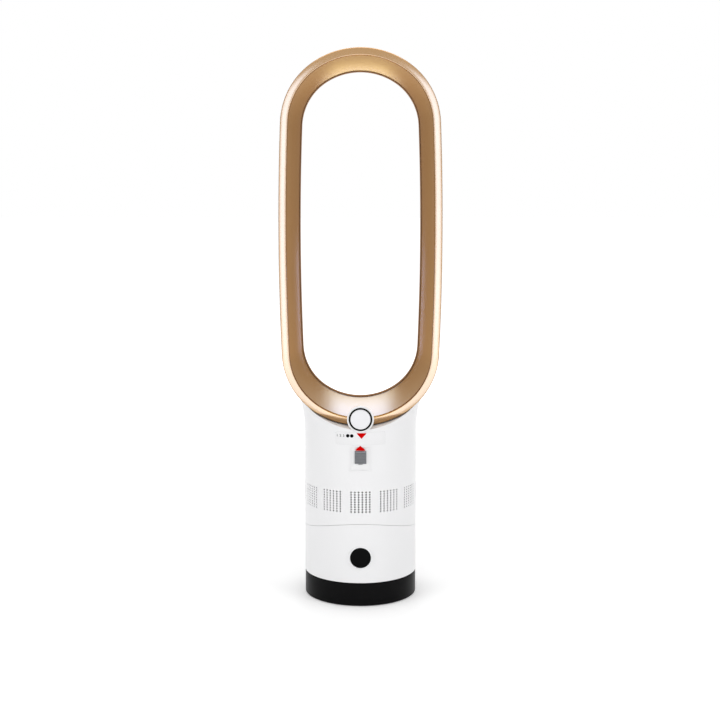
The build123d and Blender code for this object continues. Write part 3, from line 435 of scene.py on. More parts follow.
# %% Profiles and turned parts
def rounded(corners, steps=6):
    """Points of a closed profile from (x, y, radius) corners, with an arc in place of each corner."""
    points = []
    for i, (x, y, radius) in enumerate(corners):
        here = Vector((x, y))
        before = (Vector(corners[i - 1][:2]) - here).normalized()
        after = (Vector(corners[(i + 1) % len(corners)][:2]) - here).normalized()
        if radius <= 0:
            points.append(here)
            continue
        half = before.angle(after) / 2
        reach = radius / np.tan(half)
        middle = here + (before + after).normalized() * (radius / sin(half))
        start, end = here + before * reach - middle, here + after * reach - middle
        turn = start.angle_signed(end)
        count = max(steps, int(degrees(abs(turn)) * steps / 90))
        for k in range(count + 1):
            spun = start.copy()
            spun.rotate(Matrix.Rotation(-turn * k / count, 2))
            points.append(middle + spun)
    return points


def turned(name, corners, material, centre=(0, 0, 0), axis="Z", sides=96):
    """A profile of (radius, height, rounding) corners turned about a line along Z, or along -Y."""
    profile = rounded(corners)
    points, faces = [], []
    for k in range(sides):
        angle = 2 * pi * k / sides
        for radius, height in profile:
            x, y, z = max(radius, 0) * cos(angle), max(radius, 0) * sin(angle), height
            place = (x, y, z) if axis == "Z" else (x, -z, y)
            points.append(Vector(place) * MM + Vector(centre) * MM)
    count = len(profile)
    for k in range(sides):
        for i in range(count):
            a, b = k * count, (k + 1) % sides * count
            j = (i + 1) % count
            faces.append((a + i, a + j, b + j, b + i))
    return mesh_piece(name, points, faces, material)


def prism(name, ends, material):
    """A solid between two outlines that have the same number of points, in millimetres."""
    n = len(ends[0])
    points = [Vector(p) * MM for end in ends for p in end]
    faces = [(i, (i + 1) % n, n + (i + 1) % n, n + i) for i in range(n)]
    faces += [tuple(range(n))[::-1], tuple(range(n, 2 * n))]
    return mesh_piece(name, points, faces, material)


def bar(name, corners, half_length, material):
    """A profile of (depth, height, rounding) corners carried along X."""
    profile = rounded(corners, steps=4)
    ends = [[(x, y, z) for y, z in profile] for x in (-half_length, half_length)]
    return prism(name, ends, material)


# %% [markdown]
# ## The loop
#
# The real loop is moulded in a few long pieces: an outer shell that curls round the rear edge
# and ends in a lip, a gold wall whose own rear edge is tucked under that lip so that a narrow
# slit stays open, and a bright trim that closes the front. It could be sculpted or
# subdivided, but its shape follows a rule, so it is swept: one section is carried along one
# outline by Geometry Nodes. The outline is eight arcs that meet smoothly, as in the CAD source.

# %% The outline
LOOP_WIDTH, LOOP_HEIGHT, LOOP_BOTTOM, LOOP_DEPTH = 204.0, 468.0, 229.0, 104.0
END_RADIUS = 1.03 * LOOP_WIDTH / 2
SHOULDER_RADIUS = 0.90 * LOOP_WIDTH / 2
SIDE_RADIUS = 34.0 * LOOP_WIDTH / 2
FRONT, REAR = -LOOP_DEPTH / 2, LOOP_DEPTH / 2


def outline_arcs():
    """The outline's arcs: (centre, radius, first angle, last angle), anticlockwise from the right."""
    end_centre = Vector((0, LOOP_HEIGHT / 2 - END_RADIUS))
    side_centre = Vector((LOOP_WIDTH / 2 - SIDE_RADIUS, 0))
    line = side_centre - end_centre
    near, far = END_RADIUS - SHOULDER_RADIUS, SIDE_RADIUS - SHOULDER_RADIUS
    along = (near**2 - far**2 + line.length_squared) / (2 * line.length)
    off = sqrt(near**2 - along**2)
    unit = line.normalized()
    centre = end_centre + unit * along - Vector((-unit.y, unit.x)) * off
    top = atan2(centre.y - end_centre.y, centre.x - end_centre.x)
    side = atan2(centre.y - side_centre.y, centre.x - side_centre.x)
    arcs = []
    for half_turn in (0, pi):
        flip = 1 if half_turn == 0 else -1
        mirrored = Vector((-centre.x, centre.y)) * flip
        arcs += [
            (side_centre * flip, SIDE_RADIUS, half_turn - side, half_turn + side),
            (centre * flip, SHOULDER_RADIUS, half_turn + side, half_turn + top),
            (end_centre * flip, END_RADIUS, half_turn + top, half_turn + pi - top),
            (mirrored, SHOULDER_RADIUS, half_turn + pi - top, half_turn + pi - side),
        ]
    return arcs


def outline_points(step=4.0):
    """Points along the outline about this many millimetres apart, in the XZ plane."""
    points = []
    for centre, radius, first, last in outline_arcs():
        count = max(4, round((last - first) * radius / step))
        for k in range(count):
            angle = first + (last - first) * k / count
            x, z = centre.x + radius * cos(angle), centre.y + radius * sin(angle)
            points.append((x * MM, 0, (z + LOOP_BOTTOM + LOOP_HEIGHT / 2) * MM))
    return points


print("outline points:", len(outline_points()))


# %% [markdown]
# ### The sweep, as a node tree
#
# Curve to Mesh puts the section's x along the curve's normal and its y across it. With the
# normal held at +Y all the way round, x is the depth and y is the distance inwards, and the
# section never twists. Smooth shading and the finish are set in the tree as well.


# %% Node trees
def node_tree(name, inputs):
    """An empty Geometry Nodes tree with named inputs: {name: socket type}."""
    tree = bpy.data.node_groups.new(name, "GeometryNodeTree")
    tree.interface.new_socket("Geometry", in_out="INPUT", socket_type="NodeSocketGeometry")
    for label, kind in inputs.items():
        tree.interface.new_socket(label, in_out="INPUT", socket_type="NodeSocket" + kind)
    tree.interface.new_socket("Geometry", in_out="OUTPUT", socket_type="NodeSocketGeometry")
    plan = Plan(tree)
    source = plan.node("NodeGroupInput")
    wires = {socket.name: Wire(plan, socket) for socket in source.outputs if socket.name}
    return plan, wires


def close_tree(plan, wire, material):
    """Ends a tree as every tree here ends: real geometry, with its finish."""
    solid = plan.add("GeometryNodeRealizeInstances", None, {"Geometry": wire})
    smooth = plan.add("GeometryNodeSetShadeSmooth", None, {"Geometry": solid})
    painted = plan.add("GeometryNodeSetMaterial", None, {"Geometry": smooth, "Material": material})
    plan.node("NodeGroupOutput", None, {"Geometry": painted})
    return plan.tree


def copies(plan, points, place, shape, **sockets):
    """Moves the points to their places and puts a copy of the shape's object on each."""
    placed = plan.add("GeometryNodeSetPosition", None, {"Geometry": points, "Position": place})
    source = plan.add("GeometryNodeObjectInfo", None, {"Object": shape}, "Geometry")
    sockets = {"Points": placed, "Instance": source, **sockets}
    return plan.add("GeometryNodeInstanceOnPoints", None, sockets)


def grow(name, tree, base=None, **values):
    """Runs a tree on an object and returns the plain result. A value's name is its input's."""
    piece = new_object(name, base or bpy.data.meshes.new(name))
    modifier = piece.modifiers.new(tree.name, "NODES")
    modifier.node_group = tree
    for item in tree.interface.items_tree:
        key = item.name.replace(" ", "_").lower()
        if item.item_type == "SOCKET" and item.in_out == "INPUT" and key in values:
            modifier[item.identifier] = values[key]
    return plain_mesh(piece)


def sweep_tree():
    inputs = {"Section": "Object", "Finish": "Material"}
    plan, wires = node_tree("Sweep a section along an outline", inputs)
    path = plan.add("GeometryNodeMeshToCurve", None, {"Mesh": wires["Geometry"]})
    held = {"Curve": path, "Normal": (0, 1, 0)}
    level = plan.add("GeometryNodeSetCurveNormal", {"mode": "FREE"}, held)
    section = plan.add("GeometryNodeObjectInfo", None, {"Object": wires["Section"]}, "Geometry")
    profile = plan.add("GeometryNodeMeshToCurve", None, {"Mesh": section})
    swept = plan.add("GeometryNodeCurveToMesh", None, {"Curve": level, "Profile Curve": profile})
    return close_tree(plan, swept, wires["Finish"])


def chain(name, points):
    """A mesh that is only a closed chain of edges."""
    count = len(points)
    return new_mesh(name, points, edges=[(i, (i + 1) % count) for i in range(count)])


sweep = sweep_tree()


def loop_piece(name, corners, material):
    """Carries a profile of (depth, distance inwards, rounding) corners round the outline."""
    profile = [(depth * MM, inwards * MM, 0) for depth, inwards in rounded(corners)]
    section = new_object("section", chain("section", profile))
    outline = chain("outline", outline_points())
    piece = grow(name, sweep, outline, section=section, finish=material)
    bpy.data.objects.remove(section)
    return tidy_mesh(piece, 40)


# %% [markdown]
# ### The shell
#
# The shell, the gold wall and the trim differ only in their sections. Most corners repeat the
# CAD source's sizes, but the slit and its lip follow the photograph, which shows them finer.
# The shell's section runs round the rear edge and ends in the lip. The lip could be swept on
# its own, but a seam would show, so its faces are chosen by their place and get the darker
# gold, which is painted shade for the shaded line at the slit.

# %% The shell
WALL, SECTION, RIM_DEPTH = 2.2, 24.0, 8.0
NOSE, SLIT, LIP, LIP_WALL = 15.0, 0.3, 8.5, 0.9
lip_end = REAR - (SECTION - NOSE) - LIP
shell = loop_piece(
    "loop_shell_skin",
    [
        (FRONT + RIM_DEPTH, 0, 0.3),
        (REAR, 0, NOSE),
        (REAR, SECTION, SECTION - NOSE),
        (lip_end, SECTION, 0.4),
        (lip_end, SECTION - LIP_WALL, 0.4),
        (REAR - WALL, SECTION - LIP_WALL, SECTION - NOSE - WALL),
        (REAR - WALL, WALL, NOSE - WALL),
        (FRONT + RIM_DEPTH, WALL, 0.3),
    ],
    white,
)


def depth_and_inwards(point):
    """A point's depth and its distance inwards from the outline, in millimetres."""
    x, z = point.x / MM, point.z / MM - LOOP_BOTTOM - LOOP_HEIGHT / 2
    inwards = []
    for centre, radius, first, last in outline_arcs():
        angle = (atan2(z - centre.y, x - centre.x) - first) % (2 * pi)
        if angle <= last - first + 1e-6:
            inwards.append(radius - hypot(x - centre.x, z - centre.y))
    return point.y / MM, min(inwards, default=0.0)


def on_lip(face):
    """Whether a face of the shell belongs to the lip, from its tip to the rear curl."""
    margin, rear_curl = 0.3, REAR - 3
    depth, inwards = depth_and_inwards(face.center)
    return inwards > SECTION - LIP_WALL - margin and depth < rear_curl


# The lip's darker gold is painted shade for the shaded line at the slit.
paint_faces(shell, lip_gold_and_shade, on_lip)
finish_piece(shell, "upper_body", "loop_white", "loop_shell")

# %% [markdown]
# ### The gold wall
#
# The wall that guides the air bows gently from the trim to the slit, and its rear edge is
# tucked under the lip. One arc could make the bow, but a row of points on a parabola meets both
# ends at the places that are given.

# %% The gold wall
LINER, RIM_INSET, RIM_WIDTH = 2.0, 0.7, 9.2
rim_inner = RIM_INSET + RIM_WIDTH


def liner_corners():
    """The section's corners: the face, the tucked edge and the back."""
    surface = SECTION - LIP_WALL - SLIT
    rear = lip_end + LIP * 0.6
    start, land = FRONT + RIM_DEPTH, lip_end - 1
    crown, steps = 1.6, 12
    face, back = [], []
    for k in range(steps + 1):
        share = k / steps
        depth = start + (land - start) * share
        inwards = rim_inner + (surface - rim_inner) * share + crown * 4 * share * (1 - share)
        face.append((depth, inwards, 0))
        back.append((depth, inwards - LINER, 0))
    return face + [(rear, surface, 0.4), (rear, surface - LINER, 0.4)] + back[::-1]


liner = loop_piece("loop_gold_wall", liner_corners(), gold)
finish_piece(liner, "upper_body", "gold_liner", "loop_liner")

# %% [markdown]
# ### The trim
#
# The bright trim closes the hollow ring. Its face slopes back to its outer edge, by less than
# in the CAD source, and is slightly crowned. A flat face would flash all at once. This one
# shows a bright card as one band at both sides, and stays darker at the top.

# %% The trim
RIM_SLOPE, RIM_THICKNESS, CROWN_RADIUS, REAR_GAP = 1.8, 2.6, 30.0, 0.15
rim_rear = FRONT + RIM_DEPTH - REAR_GAP
trim = loop_piece(
    "loop_bright_trim",
    [
        (rim_rear, RIM_INSET, 0),
        (FRONT + RIM_SLOPE + 0.4, RIM_INSET, 1.3),
        (FRONT + RIM_SLOPE * 0.42, (RIM_INSET + rim_inner) / 2, CROWN_RADIUS),
        (FRONT, rim_inner, 0.8),
        (rim_rear, rim_inner, 0),
        (rim_rear, rim_inner - LINER, 0),
        (FRONT + RIM_THICKNESS, rim_inner - LINER, 0),
        (FRONT + RIM_THICKNESS + RIM_SLOPE, WALL, 0),
        (rim_rear, WALL, 0),
    ],
    champagne,
)
finish_piece(trim, "upper_body", "rim_champagne", "loop_rim")


# %% [markdown]
# ## The white body
#
# The two housings are plain turned shells with cuts, which the CAD mesh already has in the
# right places, so they aren't built again. The shape of their outer wall is needed as a rule
# all the same, for the shading and for what lies on the wall. It is a cylinder that flares
# along an arc. Next to the loop the flare is steeper in the photograph than in the CAD, so the
# upper housing is opened there by up to 2.4 mm.


# %% The wall's shape
BODY_RADIUS, FLARE, FLARE_START, BODY_TOP = 72.5, 3.8, 207.0, 262.0
STEEP_START, STEEP_FLARE, STEEP_POWER = 231.0, 2.4, 1.2
flare_bend = ((BODY_TOP - FLARE_START) ** 2 + FLARE**2) / (2 * FLARE)


def steep_flare(z):
    """How far the wall's last few centimetres stand further out, and their slope, from heights."""
    length = BODY_TOP - STEEP_START
    share = np.clip((z - STEEP_START) / length, 0, 1)
    slope = STEEP_POWER * STEEP_FLARE / length * share ** (STEEP_POWER - 1)
    return STEEP_FLARE * share**STEEP_POWER, slope


def cad_wall(z):
    """The CAD wall's radius in millimetres at heights."""
    above = np.clip(z - FLARE_START, 0, None)
    return BODY_RADIUS + flare_bend * (1 - np.cos(np.arcsin(above / flare_bend)))


def outwards(point):
    """The direction from the body's axis to a point."""
    return Vector((point.x, point.y, 0)).normalized()


print("wall radius at the loop's foot:", round(float(cad_wall(BODY_TOP) + steep_flare(BODY_TOP)[0]), 1))


# %% [markdown]
# ### True normals
#
# The CAD mesh has long and thin triangles, and smooth shading would show them as streaks. A
# finer mesh would hide that, but would lose the clean cuts. The shape is a known one, so the
# true normals are worked out and stored for each corner of each face: straight out from the
# axis, tipped down a little where the body flares. Corners that aren't on the outer wall keep
# their own.


# %% True normals for turned walls
def wall_normals(mesh):
    """Sets the outer wall's corner normals to those of the real turned surface."""
    near, aligned = 0.2, 0.95
    count = len(mesh.loops)
    corner = np.zeros(count, np.int64)
    mesh.loops.foreach_get("vertex_index", corner)
    places = np.zeros(len(mesh.vertices) * 3)
    mesh.vertices.foreach_get("co", places)
    places = places.reshape(-1, 3)[corner] / MM
    kept = np.zeros(count * 3, np.float32)
    mesh.corner_normals.foreach_get("vector", kept)
    kept = kept.reshape(-1, 3).astype(float)
    above = np.clip(places[:, 2] - FLARE_START, 0, None)
    extra, slope = steep_flare(places[:, 2])
    tip = np.arcsin(above / flare_bend) + np.arctan(slope)
    around = np.hypot(places[:, 0], places[:, 1])
    wall = cad_wall(places[:, 2]) + extra
    out = places[:, :2] / np.maximum(around, 1e-6)[:, None]
    true = np.column_stack([out * np.cos(tip)[:, None], -np.sin(tip)])
    face_of = np.repeat(np.arange(len(mesh.polygons)), [p.loop_total for p in mesh.polygons])
    facing = np.array([p.normal[:] for p in mesh.polygons])[face_of]
    follows = (np.abs(around - wall) < near) & ((facing * true).sum(1) > aligned)
    kept[follows] = true[follows]
    mesh.normals_split_custom_set(kept.tolist())
    print(f"{mesh.name}: {int(follows.sum())} of {count} corners follow the turned wall")


# %% [markdown]
# ### The lower housing
#
# It needs only the true normals. The frame's mesh is loose triangles, so a copy is made and its
# doubles are merged first, and the frame's own mesh stays as it is.

# %% The lower housing
lower = cad_copy("lower_housing", "lower_white_housing", white)
wall_normals(lower.data)
finish_piece(lower, "lower_body", "white_shell", "lower_housing")


# %% [markdown]
# ## The perforated intake
#
# Twelve panels, each of six columns and nine rows of round holes, go round the body. Cutting
# 648 holes with booleans is slow and leaves a poor mesh. Instead the wall's band is taken out
# and built again from small tiles: a tile with a hole and a plain tile, each exactly one step of
# the pattern. Geometry Nodes choose a tile for each place from its column number and merge the
# result into one wall.

# %% The tiles
PANELS, COLUMNS, PLAIN, ROWS = 12, 6, 2, 9
COLUMN_STEP = 2 * pi / (PANELS * (COLUMNS + PLAIN))
ROW_PITCH, LOWEST_ROW, HOLE, GRILLE_WALL = 3.16, 123.1, 1.15, 2.2
INNER_RADIUS = BODY_RADIUS - GRILLE_WALL


def tile_point(radius, across, up):
    """A point of a tile: across and up are millimetres on the outer wall."""
    angle = across / BODY_RADIUS
    return Vector((radius * cos(angle), radius * sin(angle), up)) * MM


def tile(name, hole_sides):
    """One step of the wall, with a round hole if it has sides. Its own edges stay open."""
    half_width, half_height = COLUMN_STEP * BODY_RADIUS / 2, ROW_PITCH / 2
    signs = ((-1, -1), (1, -1), (1, 1), (-1, 1))
    corners = [Vector((half_width * x, half_height * y)) for x, y in signs]
    edge, ring = corners, []
    if hole_sides:
        per_side, first_corner = hole_sides // 4, radians(225)
        edge = []
        for i in range(hole_sides):
            side, k = divmod(i, per_side)
            edge.append(corners[side].lerp(corners[(side + 1) % 4], k / per_side))
            angle = first_corner + 2 * pi * i / hole_sides
            ring.append(Vector((HOLE * cos(angle), HOLE * sin(angle))))
    points = [tile_point(radius, *p) for radius in (BODY_RADIUS, INNER_RADIUS) for p in edge + ring]
    n, layer = hole_sides, 2 * hole_sides
    faces = [] if hole_sides else [(0, 1, 2, 3), (7, 6, 5, 4)]
    for i in range(n):
        j = (i + 1) % n
        faces.append((i, j, n + j, n + i))
        faces.append((layer + j, layer + i, layer + n + i, layer + n + j))
        faces.append((n + i, n + j, layer + n + j, layer + n + i))
    return new_object(name, new_mesh(name, points, faces=faces))


# %% [markdown]
# ### The intake, as a node tree
#
# A place's index gives its column and row: the column is what is left after dividing by the
# number of columns, and the row is the whole part. The first six columns of each eight take the
# tile with a hole. Merging by distance joins the tiles' open edges into one wall.


# %% The intake tree
def intake_tree():
    inputs = {
        "Hole Tile": "Object",
        "Plain Tile": "Object",
        "Panels": "Int",
        "Columns": "Int",
        "Plain Columns": "Int",
        "Rows": "Int",
        "Row Pitch": "Float",
        "Lowest Row": "Float",
        "Finish": "Material",
    }
    plan, wires = node_tree("Perforated intake", inputs)
    panel = wires["Columns"] + wires["Plain Columns"]
    around = panel * wires["Panels"]
    places = plan.add("GeometryNodePoints", None, {"Count": around * wires["Rows"]})
    index = plan.add("GeometryNodeInputIndex")
    column = index % around
    row = (index - column) / around
    turn = column * (2 * pi) / around
    height = wires["Lowest Row"] + row * wires["Row Pitch"]
    position = plan.add("ShaderNodeCombineXYZ", None, {"Z": height})
    spun = plan.add("ShaderNodeCombineXYZ", None, {"Z": turn})
    holed = (column % panel) < wires["Columns"]
    joined = plan.node("GeometryNodeJoinGeometry")
    for name, chosen in (("Hole Tile", holed), ("Plain Tile", 1 - holed)):
        tiles = copies(plan, places, position, wires[name], Selection=chosen, Rotation=spun)
        plan.tree.links.new(tiles.socket, joined.inputs[0])
    solid = plan.add("GeometryNodeRealizeInstances", None, {"Geometry": Wire(plan, joined.outputs[0])})
    near = {"Geometry": solid, "Distance": 0.02 * MM}
    merged = plan.add("GeometryNodeMergeByDistance", None, near)
    return close_tree(plan, merged, wires["Finish"])


# %% [markdown]
# ### From tiles to a wall
#
# The grown wall is still open at its two ends, where a ring-shaped gap shows its thickness.
# Bridge Edge Loops fills both. The faces that look at the axis then get a second finish, black,
# as painted shade, so that the holes look dark from the front.


# %% The intake's wall
band_low = LOWEST_ROW - ROW_PITCH / 2
band_high = band_low + ROWS * ROW_PITCH


def close_ends(piece):
    """Fills the ring-shaped gaps at the wall's two ends."""
    work = bmesh.new()
    work.from_mesh(piece.data)
    for height in (band_low * MM, band_high * MM):
        level = {v for v in work.verts if abs(v.co.z - height) < 1e-5}
        rim = [e for e in work.edges if e.is_boundary and level.issuperset(e.verts)]
        bmesh.ops.bridge_loops(work, edges=rim)
    work.to_mesh(piece.data)
    open_edges = sum(e.is_boundary for e in work.edges)
    work.free()
    print("open edges left in the intake wall:", open_edges)


def looks_inwards(face):
    """Whether a face of a housing looks at its axis."""
    return face.normal.dot(outwards(face.center)) < -0.7


hole_tile, plain_tile = tile("hole_tile", 12), tile("plain_tile", 0)
intake = grow(
    "perforated_intake",
    intake_tree(),
    hole_tile=hole_tile,
    plain_tile=plain_tile,
    panels=PANELS,
    columns=COLUMNS,
    plain_columns=PLAIN,
    rows=ROWS,
    row_pitch=ROW_PITCH * MM,
    lowest_row=LOWEST_ROW * MM,
    finish=white,
)
for helper in (hole_tile, plain_tile):
    bpy.data.objects.remove(helper)
first_column = -pi / 2 - (COLUMNS - 1) / 2 * COLUMN_STEP
intake.data.transform(Matrix.Rotation(first_column, 4, "Z"))
close_ends(intake)
tidy_mesh(intake, 30)
wall_normals(intake.data)
# The faces that look at the axis are painted black: painted shade, so the holes look dark.
paint_faces(intake, inner_black, looks_inwards)
finish_piece(intake, "upper_body", "white_shell", "grille_ladders")

# %% [markdown]
# ### The upper housing
#
# The housing's own band, with its slots, makes room for that wall. One boolean takes it out
# cleanly, because a turned ring cuts a turned wall along two level circles. The wall near the
# loop is then opened, point by point. The same black goes inside the housing as painted shade,
# and on the upper side of its curved floor.


# %% The upper housing
def open_shoulders(mesh):
    """Moves the wall near the loop outwards, as the photograph shows it."""
    skin = 1.8
    for vertex in mesh.vertices:
        around, z = hypot(vertex.co.x, vertex.co.y) / MM, vertex.co.z / MM
        if z > STEEP_START and around > cad_wall(z) - skin:
            vertex.co += outwards(vertex.co) * float(steep_flare(z)[0]) * MM


inside, outside = BODY_RADIUS - 6, BODY_RADIUS + 4
band = [(inside, band_low), (outside, band_low), (outside, band_high), (inside, band_high)]
band_corners = [(*corner, 0) for corner in band]
upper = cad_copy("upper_housing", "upper_white_housing", white)
cut(upper, turned("band_cutter", band_corners, white))
tidy_mesh(upper, 30)
open_shoulders(upper.data)
wall_normals(upper.data)
# The faces that look at the axis are painted black: painted shade inside the housing.
paint_faces(upper, inner_black, looks_inwards)
finish_piece(upper, "upper_body", "white_shell", "upper_housing")

shoe = cad_copy("tilt_shoe", "lined_tilt_shoe", white)
# Its upward faces are painted black: painted shade for what the holes show of the inside.
paint_faces(shoe, inner_black, lambda face: face.normal.z > 0.3)
finish_piece(shoe, "upper_body", "white_shell", "tilt_shoe")

# %% [markdown]
# ## Buttons
#
# The round control at the loop's foot stands on a tapered nose: a black ring round a pale
# domed cap. Its parts are turned about a line that points forwards, with edges rounded enough to
# hold a highlight.

# %% The control at the loop's foot
POD_HEIGHT, POD_FRONT, POD_BACK, POD_RADIUS, POD_TAPER = 242.0, 75.0, 52.6, 17.0, 4.0
TRIM_OUTER, TRIM_INNER, BUTTON_GAP = 14.5, 12.7, 0.25
pod_seat, pod_bore = POD_FRONT - 4, TRIM_OUTER + 0.1
pod = turned(
    "control_pod",
    [
        (0, POD_BACK, 0),
        (POD_RADIUS - POD_TAPER, POD_BACK, 0.4),
        (POD_RADIUS, POD_FRONT, 1.0),
        (pod_bore, POD_FRONT, 0.3),
        (pod_bore, pod_seat, 0),
        (0, pod_seat, 0),
    ],
    white,
    (0, 0, POD_HEIGHT),
    "Y",
)
finish_piece(pod, "upper_body", "white_shell", "button_pod")
ring_front = POD_FRONT + 0.8
ring = turned(
    "control_ring",
    [
        (TRIM_INNER, pod_seat, 0),
        (TRIM_OUTER, pod_seat, 0),
        (TRIM_OUTER, ring_front, 0.7),
        (TRIM_INNER, ring_front, 0.7),
    ],
    black_gloss,
    (0, 0, POD_HEIGHT),
    "Y",
)
finish_piece(ring, "upper_body", "button_black", "pod_trim_ring")


def domed_corners(radius, front, rise, depth, edge):
    """A cap whose face is a shallow dome of this rise."""
    steps = 8
    face = [(radius * k / steps, front - rise * (k / steps) ** 2, 0) for k in range(steps)]
    return [(0, front - depth, 0), *face, (radius, front - rise, edge), (radius, front - depth, 0)]


cap = turned(
    "control_cap",
    domed_corners(TRIM_INNER - BUTTON_GAP, POD_FRONT + 1.2, 0.7, 3.8, 0.4),
    dome_grey,
    (0, 0, POD_HEIGHT),
    "Y",
)
finish_piece(cap, "mode_button", "button_grey", "mode_button")

# %% [markdown]
# ### The power button
#
# A plain black disc in a thin white collar, low on the body. It is turned like the control
# above. Its face is a shallow dome too, because a flat black face shows no light at all.

# %% The power button
POWER_HEIGHT, POWER_RADIUS, BEZEL = 63.8, 13.3, 1.7
collar_back, collar_front = BODY_RADIUS - 5.4, BODY_RADIUS + 0.6
power = turned(
    "power_cap",
    domed_corners(POWER_RADIUS - BUTTON_GAP, BODY_RADIUS + 0.5, 0.35, 6.0, 0.5),
    black_gloss,
    (0, 0, POWER_HEIGHT),
    "Y",
)
finish_piece(power, "power_button", "button_black", "power_button")
collar = turned(
    "power_collar",
    [
        (POWER_RADIUS, collar_back, 0),
        (POWER_RADIUS + BEZEL, collar_back, 0),
        (POWER_RADIUS + BEZEL, collar_front, 0.5),
        (POWER_RADIUS, collar_front, 0.3),
    ],
    white,
    (0, 0, POWER_HEIGHT),
    "Y",
)
finish_piece(collar, "lower_body", "white_shell", "power_bezel")


# %% [markdown]
# ## Signs on the front
#
# The lamp window carries plain digits, two dots and a red arrowhead. They are thin films of
# ink. A picture of them could be painted on, but real shapes stay sharp from close by. Each is
# drawn flat and then laid on the round wall: a point keeps its x and z, and its depth comes
# from the wall's radius there.


# %% Ink on a round wall
INK_REACH = 30


def lay_on_wall(mesh, lift):
    """Moves each point to just in front of the wall."""
    for vertex in mesh.vertices:
        x, z = vertex.co.x / MM, vertex.co.z / MM
        radius = cad_wall(z) + lift
        vertex.co.y = -sqrt(radius**2 - x**2) * MM


def ink(name, shapes, material, lift=0.25, thickness=0.1):
    """Flat shapes, each a list of (x, z) points in millimetres, as a film on the wall."""
    points, faces = [], []
    for shape in shapes:
        faces.append(tuple(range(len(points), len(points) + len(shape))))
        points += [Vector((x, -BODY_RADIUS, z)) * MM for x, z in shape]
    mesh = new_mesh(name, points, faces=faces)
    mesh.materials.append(material)
    return film(new_object(name, mesh), lift, thickness)


def film(piece, lift, thickness=0.1):
    """Cuts a flat drawing finely enough to bend, lays it on the wall and gives it thickness."""
    work = bmesh.new()
    work.from_mesh(piece.data)
    bmesh.ops.triangulate(work, faces=work.faces)
    for x in range(-INK_REACH, INK_REACH + 1):
        everything = work.verts[:] + work.edges[:] + work.faces[:]
        here = (x * MM, 0, 0)
        bmesh.ops.bisect_plane(work, geom=everything, plane_co=here, plane_no=(1, 0, 0))
    for face in work.faces:
        if face.normal.y > 0:
            face.normal_flip()
    work.to_mesh(piece.data)
    work.free()
    lay_on_wall(piece.data, lift)
    thick = piece.modifiers.new("film", "SOLIDIFY")
    thick.thickness, thick.offset = thickness * MM, -1
    return tidy_mesh(plain_mesh(piece), 40)


# %% [markdown]
# ### Arrowheads and dots
#
# The two arrowheads point at each other: one on the window, and one above the slide, which is
# thick enough to rise from the floor of the slide's tray. Shapes as simple as these are written
# as points, without a curve object.


# %% Arrowheads and dots
def arrowhead(x, base, tip, half, corner=0.5):
    """A triangle with softly rounded corners, from its base's height to its tip's."""
    corners = [(x - half, base, corner), (x + half, base, corner), (x, tip, corner)]
    return [tuple(p) for p in rounded(corners, 4)]


def dot(x, z, radius, sides=20):
    angles = [2 * pi * k / sides for k in range(sides)]
    return [(x + radius * cos(angle), z + radius * sin(angle)) for angle in angles]


TRAY_RISE = 2.4
arrow_down = ink("arrow_down", [arrowhead(1.3, 224.3, 217.0, 6.5)], red_ink)
arrow_up = ink("arrow_up", [arrowhead(-0.2, 202.1, 208.3, 6.7)], red_ink, thickness=TRAY_RISE)
dots = ink("lamp_dots", [dot(-15.9, 220.7, 2.2), dot(-10.9, 220.7, 2.2)], black_ink)
for piece in (arrow_down, arrow_up, dots):
    finish_piece(piece, "upper_body", "button_black")


# %% [markdown]
# ### Digits
#
# Blender has a plain font of its own. Its text is a curve, so it is made a mesh before it gets
# its place, and is then laid on the wall like the other signs. The digits in the photograph are
# too small to read, so 1, 2 and 3 stand for them.


# %% Digits
def digits(text, x, z, height, spacing):
    """Plain digits of a height in millimetres, laid on the wall."""
    size_per_height = 1.35
    letters = bpy.data.curves.new("digits", "FONT")
    letters.body, letters.space_character = text, spacing
    letters.size = height * MM * size_per_height
    letters.resolution_u = 3
    flat = new_object("digits", letters)
    view = bpy.context.evaluated_depsgraph_get()
    mesh = bpy.data.meshes.new_from_object(flat.evaluated_get(view))
    bpy.data.objects.remove(flat)
    move = Matrix.Translation(Vector((x, -BODY_RADIUS, z)) * MM)
    mesh.transform(move @ Matrix.Rotation(pi / 2, 4, "X"))
    mesh.materials.clear()
    mesh.materials.append(black_ink)
    return film(new_object("speed_digits", mesh), 0.25)


finish_piece(digits("1 2 3", -30.2, 219.2, 3.2, 1.15), "upper_body", "button_black")

# %% [markdown]
# ### The lamp window
#
# The window is a thin curved sheet set into the wall. It could be a second finish on the wall,
# but a sheet of its own has an edge. The CAD has its outline, so a copy is used. Its face is
# lifted by less than a tenth of a millimetre, and gets true normals like the wall's.

# %% The window
WINDOW_LIFT, WINDOW_SKIN = 0.08, 0.3
window = cad_copy("display_window", "lamp_window_sheet", window_clear)
for vertex in window.data.vertices:
    around, z = hypot(vertex.co.x, vertex.co.y) / MM, vertex.co.z / MM
    if around > cad_wall(z) - WINDOW_SKIN:
        vertex.co += outwards(vertex.co) * WINDOW_LIFT * MM
wall_normals(window.data)
finish_piece(window, "upper_body", "window", "display_window")

# %% [markdown]
# ## The release slide
#
# A grey slide in a shallow recess, with a row of fine ribs on its face. A rib is one rounded
# bar, repeated by Geometry Nodes from a count and a pitch, so that changing either number
# changes the part. An Array modifier could do the same, but the tree sets the finish as well.


# %% Rows of copies
def row_tree():
    inputs = {"Shape": "Object", "Count": "Int", "Pitch": "Float", "Finish": "Material"}
    plan, wires = node_tree("Row of copies", inputs)
    line = plan.add("GeometryNodePoints", None, {"Count": wires["Count"]})
    index = plan.add("GeometryNodeInputIndex")
    place = plan.add("ShaderNodeCombineXYZ", None, {"Z": index * wires["Pitch"] * -1})
    return close_tree(plan, copies(plan, line, place, wires["Shape"]), wires["Finish"])


# %% [markdown]
# ### The slide's block and its ribs
#
# The block has a raised edge at its top for the fingertip, and the ribs stand on the lower face
# below it. The depth of its front is read from the frame, so that it lies where the CAD's slide
# does.

